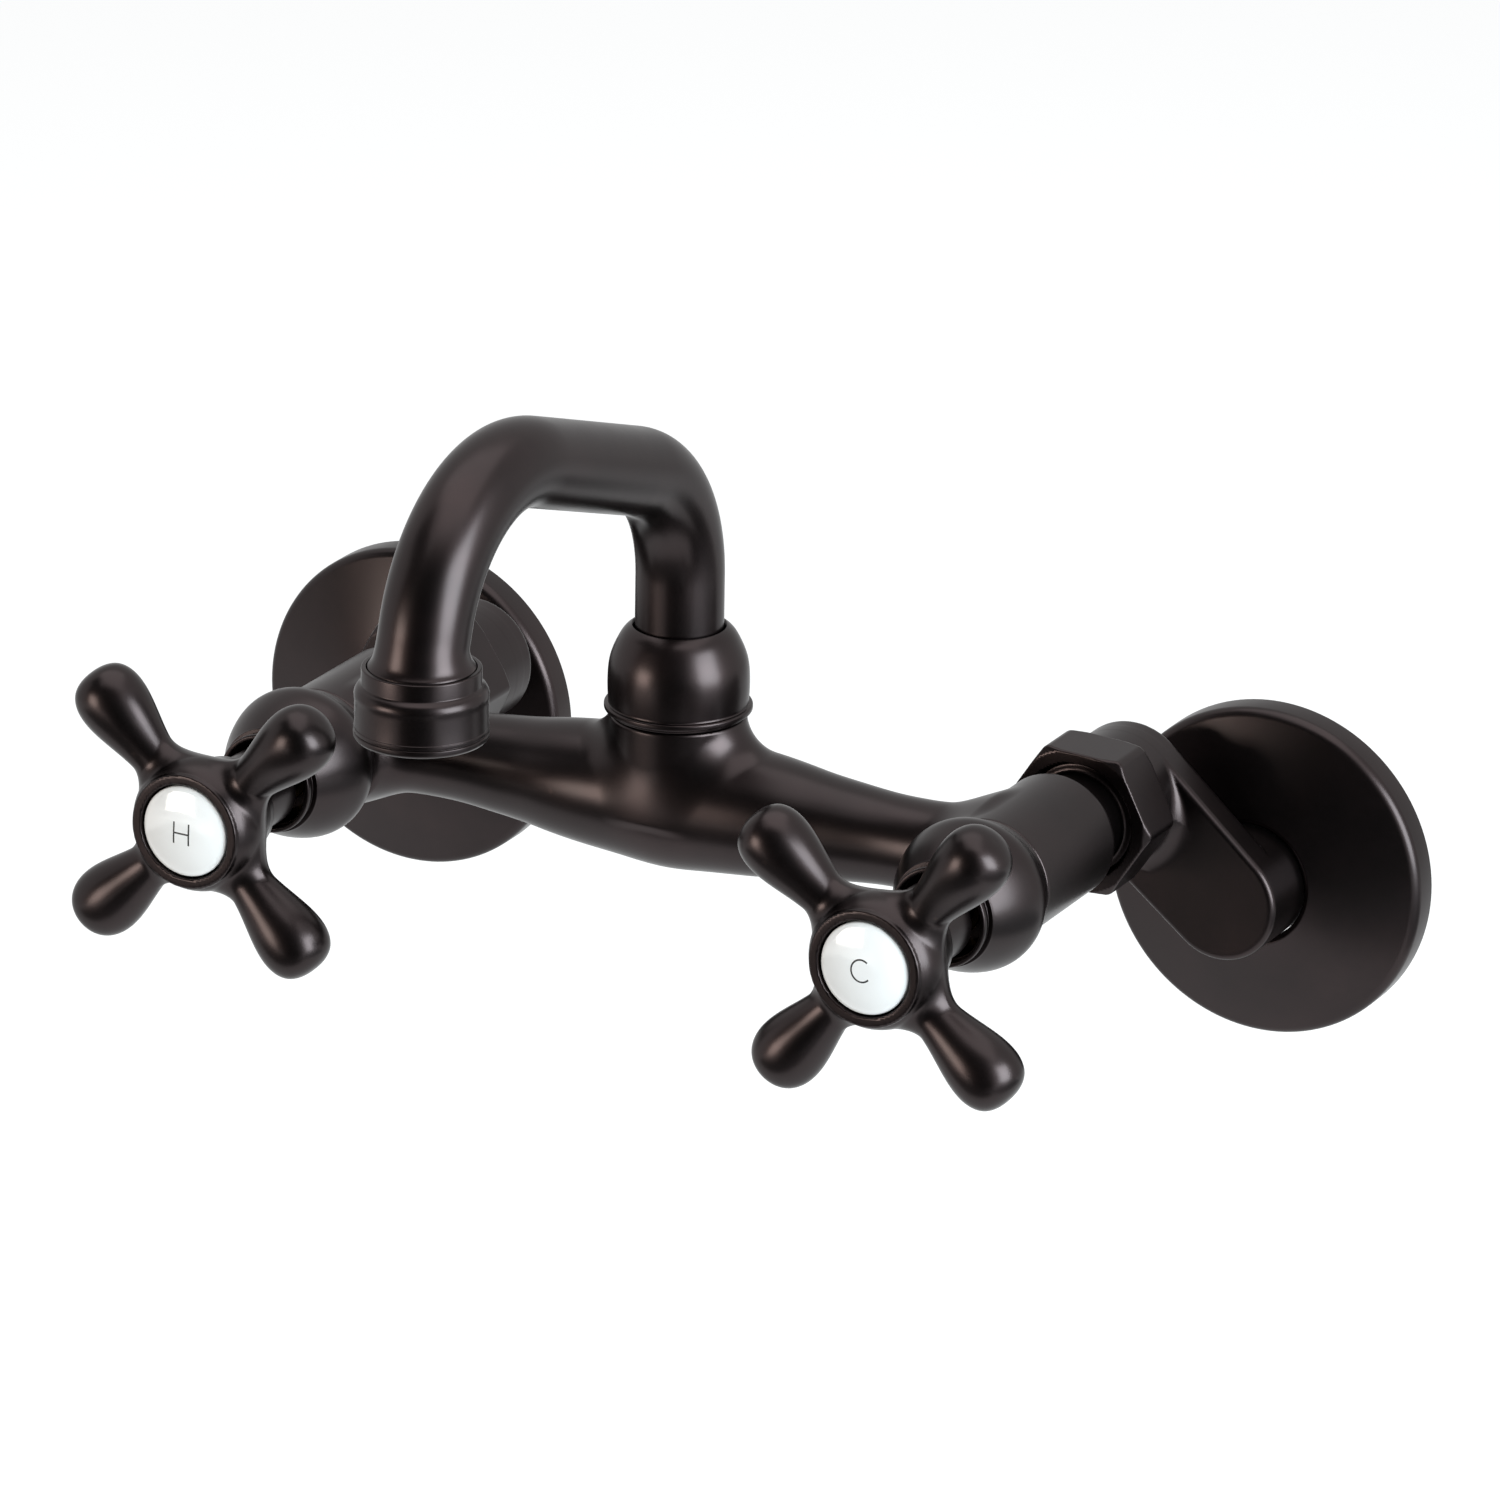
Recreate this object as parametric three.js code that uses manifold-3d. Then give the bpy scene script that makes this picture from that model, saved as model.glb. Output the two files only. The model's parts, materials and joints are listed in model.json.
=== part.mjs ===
// Wall-mounted two-handle kitchen faucet with a swinging spout, cross handles and swivelling
// supply arms that let it fit different inlet spacings.
// Millimetres, +Z up. The wall is the plane y = 0, the user stands on the -Y side, and the
// origin lies on the wall, midway between the two supply inlets.
// Outlines are written as [radius, distance] pairs. On the valves the distance is measured
// from the wall towards the user; on the spout it is a height above the valve axes.
import * as THREE from 'three';
import { mergeVertices } from 'three/addons/utils/BufferGeometryUtils.js';
import Module from 'manifold-3d';

const wasm = await Module();
wasm.setup();

// ---------------------------------------------------------------- driving dimensions
const GAP = 0.3;                  // seating and running gap between neighbours
const SEGMENTS = 16;              // facets round a turned piece
const WIDE_SEGMENTS = 28;         // facets round the wall flanges
const SLIM_SEGMENTS = 12;         // facets round the stems and screws

const VALVE_SPACING = 152.4;      // centre to centre of the two valves
const ARM_OFFSET = 30.5;          // eccentric offset of a supply arm
const ARM_DROP = 40.4;            // degrees that each arm hangs below the horizontal

const FLANGE_RADIUS = 34.95;
const FLANGE_RIM = 7.35;          // depth of the flange's rim
const FLANGE_CONE = 13.8;         // depth of the flange at its hole
const FLANGE_WALL = 1.6;

const ARM_RADIUS = 12.3;          // radius of the arm's wall boss and of its inlet end
const ARM_HEAD = 13.1;            // radius of the arm's valve end
const ARM_BACK = 20;              // wall to the back of the arm's plate
const ARM_THICKNESS = 8;
const ARM_EDGE = 1.2;             // rounding of the plate's edges
const ARM_BORE = 6;               // radius of the waterway through the arm
const INLET_WALL = 3;             // wall round the threaded socket for the supply nipple
const INLET_DEPTH = 14;

const NUT_STANDOFF = 7;           // arm plate to union nut
const NUT_LENGTH = 12.5;
const NUT_WALL = 2.2;             // least wall, under the flats
const NUT_LIP = 2.5;              // thickness of the inward lip at the back of the nut
const NUT_LIP_REACH = 2;          // how far the lip reaches in behind the retaining ring
const NUT_ENGAGEMENT = 3.4;       // length of body thread inside the nut
const RING_THICKNESS = 2.2;       // split ring that holds the nut on the arm
const RING_GROOVE = 1.7;          // depth of that ring's groove
const WASHER_THICKNESS = 2;

const DISC_RADIUS = 6.5;          // ceramic discs inside the cartridge
const DISC_THICKNESS = 2.6;
const PORT_RADIUS = 1.9;
const SHELL_WALL = 1.4;           // wall of the cartridge round the discs
const WATER_SPACE = 2;            // water all round the cartridge
const CHAMBER_WALL = 1.8;         // wall of the barrel at its threads
const SEAL_THICKNESS = 2;         // seal between the cartridge and its seat
const SEAT_HOLE = 4.6;
const SEAT_WALL = 3;
const STEM_PLATE = 2.8;           // plate at the back of the stem that drives the disc
const STEM_RADIUS = 4.2;
const STEM_SEAL = 1.8;            // width of the seal round the stem
const NOSE_WALL = 1.1;            // wall of the cartridge's nose round the stem
const NOSE_LENGTH = 4.4;
const SHELL_FLANGE = 4.6;         // length of the cartridge's head outside the barrel

const UNION_WALL = 4;             // wall of the body's supply end
const THREAD_RELIEF = 10.5;       // bare neck between the union nut and the barrel
const BARREL_STEP = 1.1;          // barrel's radius above its threads'
const BARREL_LENGTH = 29;
const BARREL_TO_CROSSBAR = 16.8;  // barrel's back face to the crossbar's axis
const BONNET_THREAD = 6;          // length of the thread under the bonnet
const WATERWAY_RADIUS = 6;
const SEAT_SETBACK = 5;           // crossbar's waterway to the back of the valve seat

const SPOUT_RADIUS = 9;
const SPOUT_WALL = 1.4;
const SPIGOT_WALL = 2.8;          // wall of the spout's lower end, where its grooves are
const SOCKET_WALL = 2.7;          // wall of the hub's threaded end round the spout
const SOCKET_FLOOR = 7.5;         // bottom of the spout's socket above the valve axes
const HUB_STEP = 1.9;             // hub's radius above its thread's
const HUB_HEIGHT = 18.4;
const HUB_THREAD = 7.6;           // length of the thread under the swivel collar
const COLLAR_WALL = 2.05;
const COLLAR_BEAD = 0.7;          // how far the bead near the collar's foot stands out
const COLLAR_HEIGHT = 18.8;       // top of the collar above the hub
const BUSHING_HEIGHT = 2.6;
const SPOUT_RING = 1.7;           // thickness of the ring that holds the spout down
const SPOUT_SEAL = 1.8;           // height of each of the spout's two seals
const SPOUT_REACH = 106.2;        // swivel axis to outlet axis
const SPOUT_CORNER = 68.7;        // height where the riser and the sloping run would meet
const SPOUT_SLOPE = 18.4;         // degrees that the run climbs
const REAR_BEND = 29;             // centreline radii of the two bends
const FRONT_BEND = 32.5;

const OUTLET_FLARE = 1.3;         // radius of the outlet's thread above the tube's
const OUTLET_THREAD = 6.1;        // length of that thread
const AERATOR_WALL = 2.3;
const AERATOR_HEIGHT = 14;
const AERATOR_LIP = 1.2;
const INSERT_HEIGHT = 4.3;

const BONNET_BELLY = 3.7;         // widest part of the bell-shaped bonnet above its thread
const BONNET_LENGTH = 21.7;
const BONNET_MOUTH = 1.3;         // open front of the bonnet, less than its thread's radius
const BONNET_LIP = 1.3;           // radius of the rim round the mouth, above the mouth's
const BONNET_WALL = 1.9;

const HANDLE_STANDOFF = 25.2;     // front of the bonnet to the plane of the handle's four arms
const HANDLE_SPAN = 30.5;         // handle axis to the centre of each arm's ball
const HANDLE_BALL = 7.2;
const HANDLE_NECK = 4.5;          // least radius of the handle's arms
const COLD_HANDLE_TURN = 4.6;     // degrees that the cold handle stands off the diagonals
const BUTTON_RADIUS = 9.5;
const BEZEL_WALL = 1.1;           // wall of the handle's hub round the button
const SKIRT_RADIUS = 8.1;         // sleeve behind the handle's hub, round the stem
const SKIRT_WALL = 1.5;
const SKIRT_GAP = 1.5;            // front of the bonnet to the back of that sleeve
const SCREW_RADIUS = 1.4;
const SCREW_HEAD = 2.4;
const SPLINE_DEPTH = 0.8;         // step from the stem down to the splines in the handle

// ---------------------------------------------------------------- places worked out from them
const valveX = VALVE_SPACING / 2;
const dropAngle = THREE.MathUtils.degToRad(ARM_DROP);
const valveZ = ARM_OFFSET * Math.sin(dropAngle);
const inletX = valveX + ARM_OFFSET * Math.cos(dropAngle);

const cartridgeRadius = DISC_RADIUS + GAP + SHELL_WALL;
const chamberRadius = cartridgeRadius + WATER_SPACE;
const threadRadius = chamberRadius + CHAMBER_WALL;
const barrelRadius = threadRadius + BARREL_STEP;
const supplyBore = threadRadius - UNION_WALL;
const armNeck = threadRadius - NUT_LIP_REACH;
const noseRadius = STEM_RADIUS + GAP + NOSE_WALL;

const armFront = ARM_BACK + ARM_THICKNESS;
const nutBack = armFront + NUT_STANDOFF;
const nutFront = nutBack + NUT_LENGTH;
const bodyBack = nutFront - NUT_ENGAGEMENT;
const washerBack = bodyBack - GAP - WASHER_THICKNESS;
const neckEnd = washerBack - GAP;
const ringBack = nutBack + NUT_LIP + GAP;
const nutFlats = 2 * (threadRadius + GAP + NUT_WALL);

const barrelBack = nutFront + THREAD_RELIEF;
const barrelFront = barrelBack + BARREL_LENGTH;
const crossbarDepth = barrelBack + BARREL_TO_CROSSBAR;
const barrelMouth = barrelFront + BONNET_THREAD;
const seatBack = crossbarDepth - WATERWAY_RADIUS - SEAT_SETBACK;
const chamberBack = seatBack + SEAT_WALL;
const bonnetBack = barrelFront + GAP;
const bonnetFront = bonnetBack + BONNET_LENGTH;
const handlePlane = bonnetFront + HANDLE_STANDOFF;

// ---------------------------------------------------------------- materials
function finish(color, roughness, metalness) {
  return () => new THREE.MeshStandardMaterial({ color, roughness, metalness });
}
const bronze = finish(0x2e211d, 0.38, 0.85);
const brass = finish(0xa8884a, 0.35, 0.9);
const steel = finish(0x9a9a98, 0.3, 0.95);
const porcelain = finish(0xf4f3ee, 0.12, 0);
const ceramic = finish(0xe4e0d4, 0.3, 0);
const rubber = finish(0x1b1b1b, 0.8, 0);
const plastic = finish(0xd8d6cf, 0.5, 0);

// ---------------------------------------------------------------- solids
// Welds a geometry's vertices, drops the slivers at a lathe's poles and turns its faces outward.
function solid(geometry) {
  geometry.deleteAttribute('normal');
  geometry.deleteAttribute('uv');
  const welded = mergeVertices(geometry);
  const position = welded.attributes.position;
  const index = welded.index.array;
  const corner = [0, 1, 2].map(() => new THREE.Vector3());
  const triangles = [];
  let volume = 0;
  for (let i = 0; i < index.length; i += 3) {
    const [a, b, c] = index.slice(i, i + 3);
    if (a === b || b === c || c === a) continue;
    [a, b, c].forEach((vertex, k) => corner[k].fromBufferAttribute(position, vertex));
    volume += corner[0].dot(corner[1].cross(corner[2]));
    triangles.push([a, b, c]);
  }
  if (volume < 0) triangles.forEach((triangle) => triangle.reverse());
  const mesh = new wasm.Mesh({
    numProp: 3,
    vertProperties: new Float32Array(position.array),
    triVerts: new Uint32Array(triangles.flat()),
  });
  return new wasm.Manifold(mesh);
}

function geometryOf(shape) {
  const { vertProperties, triVerts } = shape.getMesh();
  const geometry = new THREE.BufferGeometry();
  geometry.setAttribute('position', new THREE.BufferAttribute(vertProperties, 3));
  geometry.setIndex(new THREE.BufferAttribute(triVerts, 1));
  geometry.computeVertexNormals();
  return geometry;
}

// Replaces each corner that has a third value by an arc of that radius.
function rounded(points, steps = 2) {
  const outline = [];
  points.forEach(([radius, along, fillet], i) => {
    const corner = new THREE.Vector2(radius, along);
    if (!fillet) {
      outline.push(corner);
      return;
    }
    const before = new THREE.Vector2(...points.at(i - 1).slice(0, 2)).sub(corner);
    const after = new THREE.Vector2(...points[(i + 1) % points.length].slice(0, 2)).sub(corner);
    const half = before.angleTo(after) / 2;
    const room = 0.45 * Math.min(before.length(), after.length());
    const tangent = Math.min(fillet / Math.tan(half), room);
    const start = corner.clone().addScaledVector(before.normalize(), tangent);
    const end = corner.clone().addScaledVector(after.normalize(), tangent);
    const centre = corner.clone()
      .addScaledVector(before.clone().add(after).normalize(), tangent / Math.cos(half));
    const from = start.clone().sub(centre);
    const to = end.clone().sub(centre);
    const turn = Math.atan2(from.cross(to), from.dot(to));
    for (let k = 0; k <= steps; k += 1) {
      outline.push(centre.clone().add(from.clone().rotateAround(new THREE.Vector2(), turn * k / steps)));
    }
  });
  return outline;
}

// A turned piece from a closed outline. A solid one has its first and last point on the axis.
function revolve(points, segments = SEGMENTS) {
  const outline = rounded(points);
  outline.push(outline[0].clone());
  return new THREE.LatheGeometry(outline, segments);
}

// Turned about the valve's axis, with distances from the wall along -Y.
const turned = (points, segments) => solid(revolve(points, segments).scale(1, -1, 1));

// Turned about the spout's upright axis, with heights along +Z.
const turnedUp = (points, segments) => solid(revolve(points, segments).rotateX(Math.PI / 2));

const CUT = 1;                    // how far a cut runs past the face that it opens
const rod = (radius, from, to) => [[0, from], [radius, from], [radius, to], [0, to]];
const tube = (inner, outer, from, to) => [[inner, from], [outer, from], [outer, to], [inner, to]];

function block(x, y, z, at) {
  return solid(new THREE.BoxGeometry(x, y, z).translate(...at));
}

// A flat plate of the given outline, drawn as seen from the user, from one distance off the
// wall to another, with rounded edges.
function plate(shape, from, thickness, edge) {
  const geometry = new THREE.ExtrudeGeometry(shape, {
    depth: thickness - 2 * edge,
    bevelEnabled: edge > 0,
    bevelSize: edge,
    bevelOffset: -edge,
    bevelThickness: edge,
    bevelSegments: 1,
    curveSegments: SEGMENTS / 2,
  });
  return solid(geometry.translate(0, 0, from + edge).rotateX(Math.PI / 2));
}

// A slot-shaped outline from a round end at the centre to one at (x, z), with straight sides
// that touch both ends.
function slotOutline(startRadius, endRadius, x, z) {
  const heading = Math.atan2(z, x);
  const side = Math.acos((startRadius - endRadius) / Math.hypot(x, z));
  const shape = new THREE.Shape();
  shape.absarc(0, 0, startRadius, heading + side, heading - side + 2 * Math.PI, false);
  shape.absarc(x, z, endRadius, heading - side, heading + side, false);
  return shape;
}

const faucet = new THREE.Group();

function piece(name, shape, material, parent = faucet) {
  const mesh = new THREE.Mesh(geometryOf(shape), material());
  mesh.name = name;
  parent.add(mesh);
}

function groupAt(x, y, z, parent = faucet) {
  const group = new THREE.Group();
  group.position.set(x, y, z);
  parent.add(group);
  return group;
}

// ---------------------------------------------------------------- body
// Radius of the cast crossbar at each share of the way from the middle to the valve's axis.
// It ends inside the barrels.
const CROSSBAR_OUTLINE = [
  [14.3, 0], [13.6, 0.13], [12.8, 0.25], [11.8, 0.355], [10.9, 0.43], [10.1, 0.525],
  [9.4, 0.63], [9.3, 0.72], [9.7, 0.8], [10.9, 0.87],
];
const FOOT_HEIGHT = 15;           // the hub's foot spreads into the crossbar below this
const FOOT_DEPTH_SHARE = 0.76;    // it spreads less front to back than along the crossbar
const socketRadius = SPOUT_RADIUS + GAP;
const hubThread = socketRadius + SOCKET_WALL;
const hubRadius = hubThread + HUB_STEP;
const hubTop = HUB_HEIGHT + HUB_THREAD;

function barrel() {
  const outside = turned([
    [0, bodyBack], [threadRadius, bodyBack], [threadRadius, barrelBack],
    [barrelRadius, barrelBack, BARREL_STEP], [barrelRadius, barrelFront],
    [threadRadius, barrelFront], [threadRadius, barrelMouth], [0, barrelMouth],
  ]);
  const supply = turned(rod(supplyBore, bodyBack - CUT, seatBack));
  const seat = turned(rod(SEAT_HOLE, seatBack - CUT, chamberBack + CUT));
  const chamber = turned(rod(chamberRadius, chamberBack, barrelMouth + CUT));
  return { outside, bores: supply.add(seat).add(chamber) };
}

function crossbar() {
  const half = CROSSBAR_OUTLINE.map(([radius, share]) => [radius, share * valveX]);
  const mirrored = half.slice(1).reverse().map(([radius, x]) => [radius, -x]);
  const ends = [[0, -half.at(-1)[1]], ...mirrored, ...half, [0, half.at(-1)[1]]];
  return solid(revolve(ends).rotateZ(Math.PI / 2));
}

function hub() {
  const neck = turnedUp([
    [0, 0], [hubRadius, 0], [hubRadius, HUB_HEIGHT], [hubThread, HUB_HEIGHT],
    [hubThread, hubTop], [0, hubTop],
  ]);
  const foot = solid(revolve([
    [0, 0], [hubRadius + 7, 0], [hubRadius + 3.2, FOOT_HEIGHT - 9.5],
    [hubRadius + 1, FOOT_HEIGHT - 5], [hubRadius, FOOT_HEIGHT], [0, FOOT_HEIGHT],
  ]).rotateX(Math.PI / 2).scale(1, FOOT_DEPTH_SHARE, 1));
  return neck.add(foot);
}

function body() {
  const { outside, bores } = barrel();
  const right = outside.translate(valveX, crossbarDepth, 0);
  const left = outside.translate(-valveX, crossbarDepth, 0);
  const waterway = solid(revolve(rod(WATERWAY_RADIUS, -valveX, valveX)).rotateZ(Math.PI / 2));
  const socket = turnedUp([
    [0, 0], [WATERWAY_RADIUS, 0], [WATERWAY_RADIUS, SOCKET_FLOOR], [socketRadius, SOCKET_FLOOR],
    [socketRadius, hubTop + CUT], [0, hubTop + CUT],
  ]);
  return crossbar().add(hub()).add(right).add(left)
    .subtract(bores.translate(valveX, crossbarDepth, 0))
    .subtract(bores.translate(-valveX, crossbarDepth, 0))
    .subtract(waterway)
    .subtract(socket);
}

piece('faucet_body', body(), bronze, groupAt(0, -crossbarDepth, valveZ));

// ---------------------------------------------------------------- supply side of each valve
function wallFlange() {
  const hole = ARM_RADIUS + GAP;
  const underside = FLANGE_WALL * 1.1;
  return turned([
    [FLANGE_RADIUS - FLANGE_WALL, 0], [FLANGE_RADIUS, 0],
    [FLANGE_RADIUS, FLANGE_RIM - 0.4, 1.8],
    [hole + 1, FLANGE_CONE], [hole, FLANGE_CONE - 0.6],
    [hole, FLANGE_CONE - FLANGE_WALL - 1],
    [hole + 1.4, FLANGE_CONE - FLANGE_WALL - 1],
    [FLANGE_RADIUS - FLANGE_WALL, FLANGE_RIM - underside],
  ], WIDE_SEGMENTS);
}

// The arm stands at the valve's axis. Its plate reaches out to the inlet at (x, z), where a
// boss runs back to the wall.
function supplyArm(x, z) {
  const atInlet = (shape) => shape.translate(x, 0, z);
  const rooted = ARM_BACK + ARM_EDGE + CUT;
  const middle = ARM_BACK + ARM_THICKNESS / 2;
  const channel = 4.4;
  const socket = ARM_RADIUS - INLET_WALL;
  const boss = turned(rod(ARM_RADIUS, 0, rooted));
  const neck = turned([
    [0, rooted], [armNeck, rooted], [armNeck + 2.1, armFront - 0.2],
    [armNeck + 0.6, armFront + 1.2], [armNeck, armFront + 3.2], [armNeck, neckEnd],
    [0, neckEnd],
  ]);
  const groove = turned(tube(
    armNeck - RING_GROOVE, armNeck + CUT, ringBack - GAP, ringBack + RING_THICKNESS + GAP,
  ));
  const inlet = turned([
    [0, -CUT], [socket, -CUT], [socket, INLET_DEPTH], [ARM_BORE, INLET_DEPTH + 1.5],
    [ARM_BORE, middle], [0, middle],
  ]);
  return plate(slotOutline(ARM_HEAD, ARM_RADIUS, x, z), ARM_BACK, ARM_THICKNESS, ARM_EDGE)
    .add(atInlet(boss))
    .add(neck)
    .subtract(groove)
    .subtract(atInlet(inlet))
    .subtract(plate(slotOutline(ARM_BORE, ARM_BORE, x, z), middle - channel / 2, channel, 0))
    .subtract(turned(rod(ARM_BORE, middle, neckEnd + CUT)));
}

// Split ring in the groove of the arm's neck.
function nutRetainingRing() {
  const width = RING_THICKNESS + 2 * CUT;
  const split = block(2, width, 2 * armNeck, [0, -ringBack - RING_THICKNESS / 2, armNeck]);
  const inner = armNeck - RING_GROOVE + GAP;
  return turned(tube(inner, threadRadius - GAP, ringBack, ringBack + RING_THICKNESS))
    .subtract(split);
}

// Hexagonal nut whose corners are chamfered front and back by a turned envelope.
function unionNut() {
  const cornerRadius = nutFlats / Math.sqrt(3);
  const hexagon = new THREE.Shape();
  for (let k = 0; k < 6; k += 1) {
    const angle = k * Math.PI / 3;
    hexagon.lineTo(cornerRadius * Math.cos(angle), cornerRadius * Math.sin(angle));
  }
  const chamfer = 0.6 * (cornerRadius - nutFlats / 2);
  const envelope = turned([
    [0, nutBack], [nutFlats / 2, nutBack], [cornerRadius, nutBack + chamfer],
    [cornerRadius, nutFront - chamfer], [nutFlats / 2, nutFront], [0, nutFront],
  ]);
  return plate(hexagon, nutBack, NUT_LENGTH, 0)
    .intersect(envelope)
    .subtract(turned([
      [0, nutBack - CUT], [armNeck + GAP, nutBack - CUT], [armNeck + GAP, nutBack + NUT_LIP],
      [threadRadius + GAP, nutBack + NUT_LIP], [threadRadius + GAP, nutFront + CUT],
      [0, nutFront + CUT],
    ]));
}

// Flat washer squeezed between the arm's neck and the body.
function unionWasher() {
  return turned(tube(supplyBore - 1, threadRadius - 0.4, washerBack, bodyBack - GAP));
}

// ---------------------------------------------------------------- valve cartridge
const sealBack = chamberBack + GAP;
const shellBack = sealBack + SEAL_THICKNESS + GAP;
const discBack = shellBack + GAP;
const turningDiscBack = discBack + DISC_THICKNESS + GAP;
const stemPlateBack = turningDiscBack + DISC_THICKNESS + GAP;
const stemPlateFront = stemPlateBack + STEM_PLATE;
const shellShoulder = barrelMouth + GAP;
const shellHead = shellShoulder + SHELL_FLANGE;
const shellNose = shellHead + NOSE_LENGTH;
const stemSealBack = shellShoulder - 6;
const stemEnd = handlePlane - 4;
const splineBack = stemEnd - 17;
const splineRadius = STEM_RADIUS - SPLINE_DEPTH;

// Seal that the cartridge presses on its seat.
function seatSeal() {
  return turned(tube(SEAT_HOLE, cartridgeRadius - 0.6, sealBack, sealBack + SEAL_THICKNESS));
}

function cartridgeShell() {
  const bore = DISC_RADIUS + GAP;
  const plug = chamberRadius - GAP;
  const plugBack = barrelFront - 3;
  const flange = threadRadius - 0.4;
  const step = noseRadius + 2.4;
  const window = block(2 * (cartridgeRadius + CUT), 5, 6.4, [0, -(turningDiscBack + 3), 0]);
  return turned([
    [bore, shellBack], [cartridgeRadius, shellBack], [cartridgeRadius, plugBack - 1],
    [plug, plugBack], [plug, shellShoulder], [flange, shellShoulder], [flange, shellHead - 2],
    [step, shellHead - 2], [step, shellHead], [noseRadius, shellHead], [noseRadius, shellNose],
    [STEM_RADIUS + GAP, shellNose], [STEM_RADIUS + GAP, stemPlateFront + GAP],
    [bore, stemPlateFront + GAP],
  ]).subtract(window);
}

// Ceramic disc with two round ports on one diameter, turned by an angle in degrees.
function portedDisc(from, portAngle) {
  const disc = turned(rod(DISC_RADIUS, from, from + DISC_THICKNESS));
  const angle = THREE.MathUtils.degToRad(portAngle);
  const port = turned(rod(PORT_RADIUS, from - CUT, from + DISC_THICKNESS + CUT), 8);
  const reach = DISC_RADIUS - PORT_RADIUS - 1;
  const shift = [reach * Math.cos(angle), 0, reach * Math.sin(angle)];
  return disc
    .subtract(port.translate(...shift))
    .subtract(port.translate(-shift[0], 0, -shift[2]));
}

function valveStem() {
  const grooveRadius = STEM_RADIUS - 1.3;
  return turned([
    [0, stemPlateBack], [DISC_RADIUS, stemPlateBack], [DISC_RADIUS, stemPlateFront],
    [STEM_RADIUS, stemPlateFront], [STEM_RADIUS, stemSealBack - GAP],
    [grooveRadius, stemSealBack - GAP], [grooveRadius, stemSealBack + STEM_SEAL + GAP],
    [STEM_RADIUS, stemSealBack + STEM_SEAL + GAP], [STEM_RADIUS, splineBack],
    [splineRadius, splineBack], [splineRadius, stemEnd], [SCREW_RADIUS + GAP, stemEnd],
    [SCREW_RADIUS + GAP, stemEnd - 13], [0, stemEnd - 13],
  ], SLIM_SEGMENTS);
}

function stemSeal() {
  const inner = STEM_RADIUS - 1.05;
  const outer = STEM_RADIUS + 0.05;
  return turned(tube(inner, outer, stemSealBack, stemSealBack + STEM_SEAL), SLIM_SEGMENTS);
}

// Hexagon nut screwed on the cartridge's nose.
function glandNut() {
  const back = shellHead + GAP;
  const front = shellNose - 0.5;
  return turned(rod(noseRadius + 3, back, front), 6)
    .subtract(turned(rod(noseRadius + GAP, back - CUT, front + CUT)));
}

// Bell that flares from the barrel's seam and closes in towards the front, where a groove sets
// off the rim round its open mouth.
function valveBonnet() {
  const bore = threadRadius + GAP;
  const belly = threadRadius + BONNET_BELLY;
  const mouth = threadRadius - BONNET_MOUTH;
  const rim = mouth + BONNET_LIP;
  const groove = rim - 0.4;
  const inside = belly - BONNET_WALL;
  return turned([
    [bore, bonnetBack], [barrelRadius + 0.2, bonnetBack], [barrelRadius + 0.3, bonnetBack + 1.2],
    [belly - 1.8, bonnetBack + 2.6], [belly - 0.8, bonnetBack + 4.2],
    [belly - 0.1, bonnetBack + 6], [belly, bonnetBack + 8], [belly - 0.4, bonnetBack + 11],
    [belly - 1.3, bonnetBack + 14.5], [rim + 1.2, bonnetFront - 4.2],
    [rim + 0.5, bonnetFront - 2.9], [groove, bonnetFront - 2.7], [groove, bonnetFront - 1.2],
    [rim, bonnetFront - 0.9], [rim, bonnetFront - 0.3], [rim - 0.3, bonnetFront],
    [mouth + 0.5, bonnetFront], [mouth, bonnetFront - 1.2], [mouth, bonnetFront - 2.6],
    [inside - 1.9, bonnetBack + 14.6], [inside, bonnetBack + 10], [inside, bonnetBack + 7.8],
    [bore, bonnetBack + BONNET_THREAD - 0.4],
  ]);
}

// ---------------------------------------------------------------- cross handle
const handleHub = BUTTON_RADIUS + GAP + BEZEL_WALL;
const hubBore = splineRadius + GAP;
const buttonBack = handlePlane + 3.4;
const bezelFront = handlePlane + 7.6;
const webBack = stemEnd + GAP;
const webFront = handlePlane - 0.6;

// Waisted arm with a ball end, turned about its own length from the handle's axis.
function handleArm() {
  const tip = HANDLE_SPAN;
  const outline = [
    [0, hubBore], [HANDLE_NECK + 1.9, hubBore], [HANDLE_NECK + 0.6, handleHub],
    [HANDLE_NECK, handleHub + 3], [HANDLE_NECK + 0.8, tip - 10.5],
    [HANDLE_BALL - 0.6, tip - 5], [HANDLE_BALL, tip - 0.5], [HANDLE_BALL - 0.4, tip + 2.9],
    [HANDLE_BALL - 1.9, tip + 5.6], [HANDLE_BALL - 4.2, tip + 6.9], [0, tip + HANDLE_BALL],
  ];
  return solid(revolve(outline, 10));
}

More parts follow.
